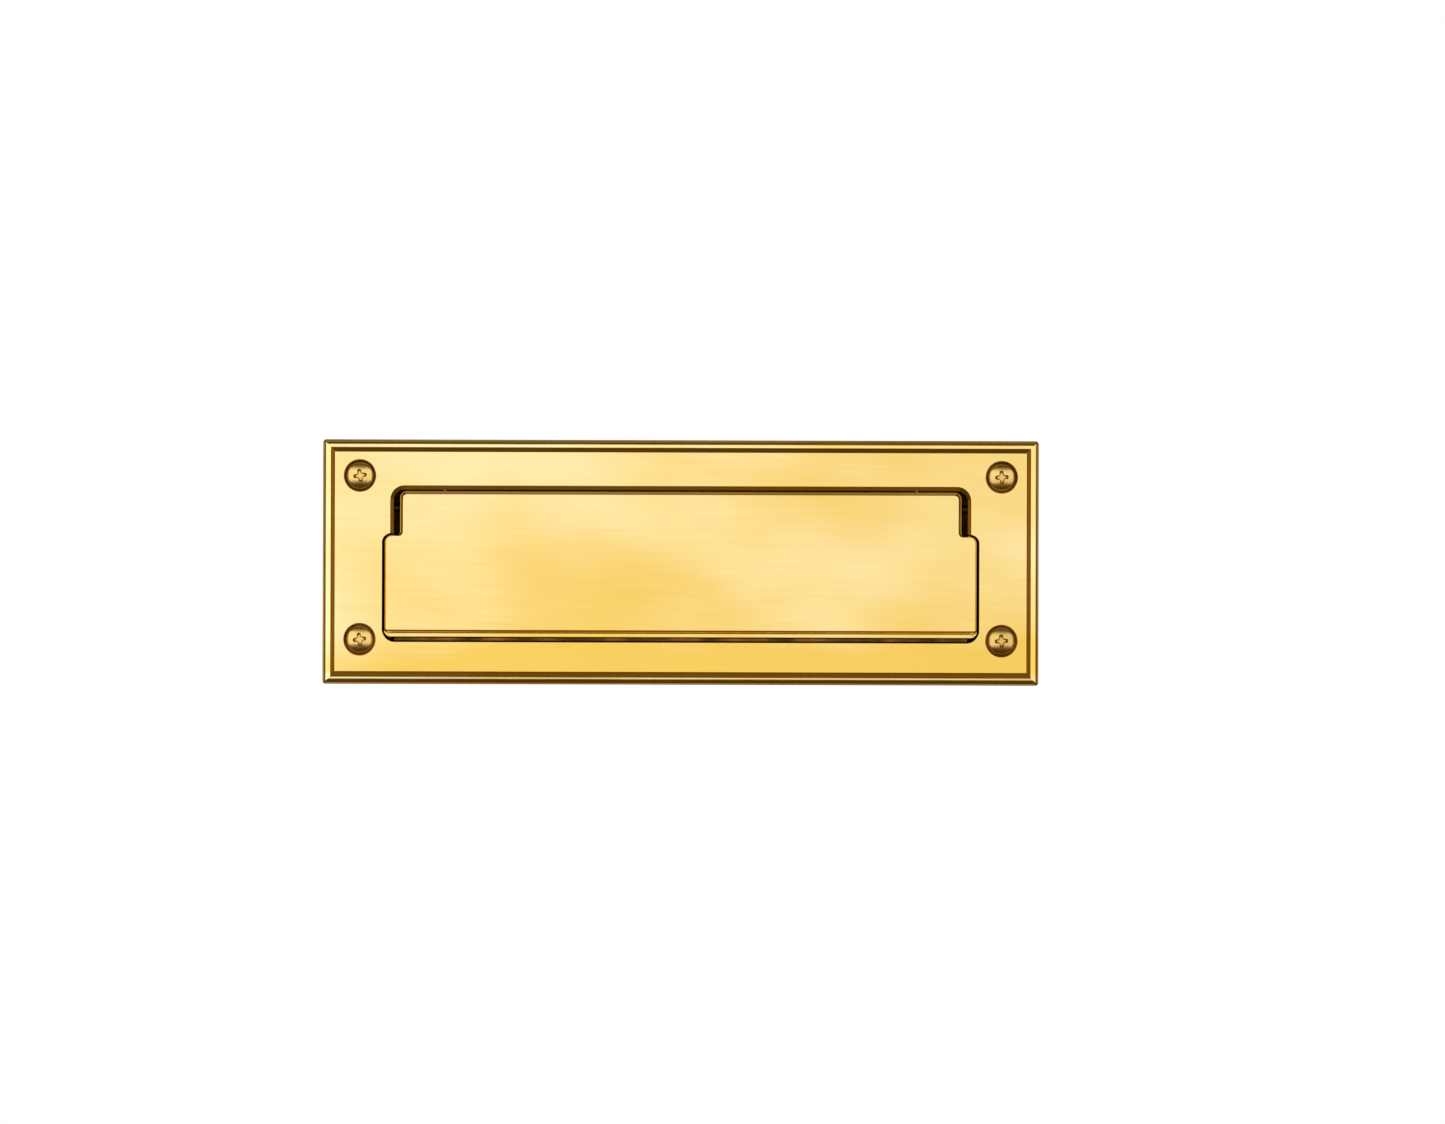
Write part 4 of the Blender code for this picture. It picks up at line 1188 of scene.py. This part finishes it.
def studio_world():
    """White for the camera. Reflections see a wide soft window in front and behind, warm dark all
    round it, faint glows near its ends, and narrow dim windows straight out to the sides, up and down.
    """
    world = bpy.data.worlds.new("studio")
    bpy.context.scene.world = world
    world.use_nodes = True
    wires = Wires(world.node_tree)
    world.node_tree.nodes.remove(world.node_tree.nodes["Background"])
    output = world.node_tree.nodes["World Output"]
    place = wires.node("ShaderNodeTexCoord")
    direction = wires.node("ShaderNodeSeparateXYZ")
    wires.link(place.outputs["Generated"], direction.inputs[0])
    x, _, z = direction.outputs
    across = wires.maths("ABSOLUTE", x)
    height = wires.maths("ABSOLUTE", z)
    wide = wires.spread(across, 0.62, 0.84, 1.0, 0.0)
    high = wires.spread(z, 0.34, 0.56, 1.0, 0.0)
    low = wires.spread(z, -0.40, -0.22)
    window = wires.maths("MULTIPLY", wide, wires.maths("MULTIPLY", high, low))
    # the window's middle is dimmer than its rim, and its left side is the brighter one
    rim = wires.spread(wires.maths("ADD", across, height), 0.12, 0.42, 0.0, 0.22)
    side = wires.spread(x, -0.12, 0.12, 1.18, 1.04)
    level = wires.maths("MULTIPLY", window, wires.maths("ADD", rim, side))
    # the window, the dark round it, glows above, at the sides and below, then the narrow windows
    parts = (
        ((1.0, 0.985, 0.96), level),
        ((0.088, 0.046, 0.004), wires.maths("SUBTRACT", 1.0, window)),
        ((0.24, 0.19, 0.10), wires.maths("MULTIPLY", wires.spread(z, 0.78, 0.84),
                                         wires.spread(z, 0.88, 0.94, 1.0, 0.0))),
        ((0.16, 0.075, 0.006), wires.spread(across, 0.92, 0.96)),
        ((0.10, 0.05, 0.004), wires.spread(z, -0.93, -0.88, 1.0, 0.0)),
        ((0.40, 0.38, 0.35), wires.spread(across, 0.984, 0.995)),
        ((0.40, 0.38, 0.35), wires.spread(height, 0.984, 0.995)),
    )
    total = None
    for colour, strength in parts:
        glow = wires.node("ShaderNodeBackground")
        glow.inputs["Color"].default_value = (*colour, 1.0)
        wires.link(strength, glow.inputs["Strength"])
        total = glow.outputs[0] if total is None else wires.added(total, glow.outputs[0])
    seen = wires.node("ShaderNodeBackground")
    seen.inputs["Color"].default_value = (1.0, 1.0, 1.0, 1.0)
    path = wires.node("ShaderNodeLightPath")
    mixed = wires.node("ShaderNodeMixShader")
    wires.link(path.outputs["Is Camera Ray"], mixed.inputs[0])
    wires.link(total, mixed.inputs[1])
    wires.link(seen.outputs[0], mixed.inputs[2])
    wires.link(mixed.outputs[0], output.inputs["Surface"])


def soft_light(name, place, aim, size, power):
    data = bpy.data.lights.new(name, "AREA")
    data.shape = "RECTANGLE"
    data.size, data.size_y = size
    data.energy = power
    light = bpy.data.objects.new(name, data)
    light.location = place
    light.rotation_euler = (Vector(aim) - Vector(place)).to_track_quat("-Z", "Y").to_euler()
    light.visible_glossy = False
    bpy.context.scene.collection.objects.link(light)


def camera():
    data = bpy.data.cameras.new("camera")
    data.sensor_width = SENSOR
    data.lens = SENSOR * CAMERA_DISTANCE / FRAME_WIDTH
    data.clip_start = 0.1
    data.clip_end = 100.0
    made = bpy.data.objects.new("camera", data)
    bpy.context.scene.collection.objects.link(made)
    aim = Vector((CAMERA_ASIDE, -FACE_HEIGHT, CAMERA_RAISE))
    back = Vector((0.0, -math.cos(CAMERA_BELOW), -math.sin(CAMERA_BELOW)))
    made.location = aim + back * CAMERA_DISTANCE
    turn = (-back).to_track_quat("-Z", "Y").to_matrix().to_4x4()
    made.rotation_euler = (turn @ Matrix.Rotation(CAMERA_ROLL, 4, "Z")).to_euler()
    bpy.context.scene.camera = made


def main():
    outer_plate()
    outer_flap()
    for label in PLACES:
        plate_screw(label)
        threaded_post(label)
    clip_outer = abs(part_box("outer_pin_clip_right")[0].x)
    clip_inner = abs(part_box("inner_pin_clip_right")[0].x)
    hinge_pin("outer_hinge_pin", "outer_body", PIN_RADIUS, "outer_flap_hinge", clip_outer)
    hinge_pin("inner_hinge_pin", "inner_body", INNER_PIN_RADIUS, "inner_flap_hinge", clip_inner)
    for label, side in (("left", -1.0), ("right", 1.0)):
        pin_clip(f"outer_pin_clip_{label}", "outer_body", PIN_RADIUS, "outer_flap_hinge")
        pin_clip(f"inner_pin_clip_{label}", "inner_body", INNER_PIN_RADIUS, "inner_flap_hinge")
        torsion_spring(label, side)
        bumper(f"outer_bumper_{label}", "outer_body", 1.0)
        bumper(f"inner_bumper_{label}", "inner_body", 1.0)
    foam_gasket()
    sleeve("sleeve_outer", "outer_body", SHEET + CLEARANCE, flange_in_front=True)
    sleeve("sleeve_inner", "inner_body", 0.0, flange_in_front=False)
    inner_plate()
    inner_flap()
    pale_floor()
    studio_world()
    soft_light("soft_top", place=(0.3, -0.4, 3.0), aim=(0.3, -0.4, 0.0), size=(6.0, 6.0), power=150.0)
    soft_light("soft_rear", place=(-0.9, 1.6, 0.9), aim=(0.0, 0.0, 0.0), size=(1.2, 1.0), power=7.0)
    camera()
    bpy.context.scene.view_settings.view_transform = "Standard"


main()
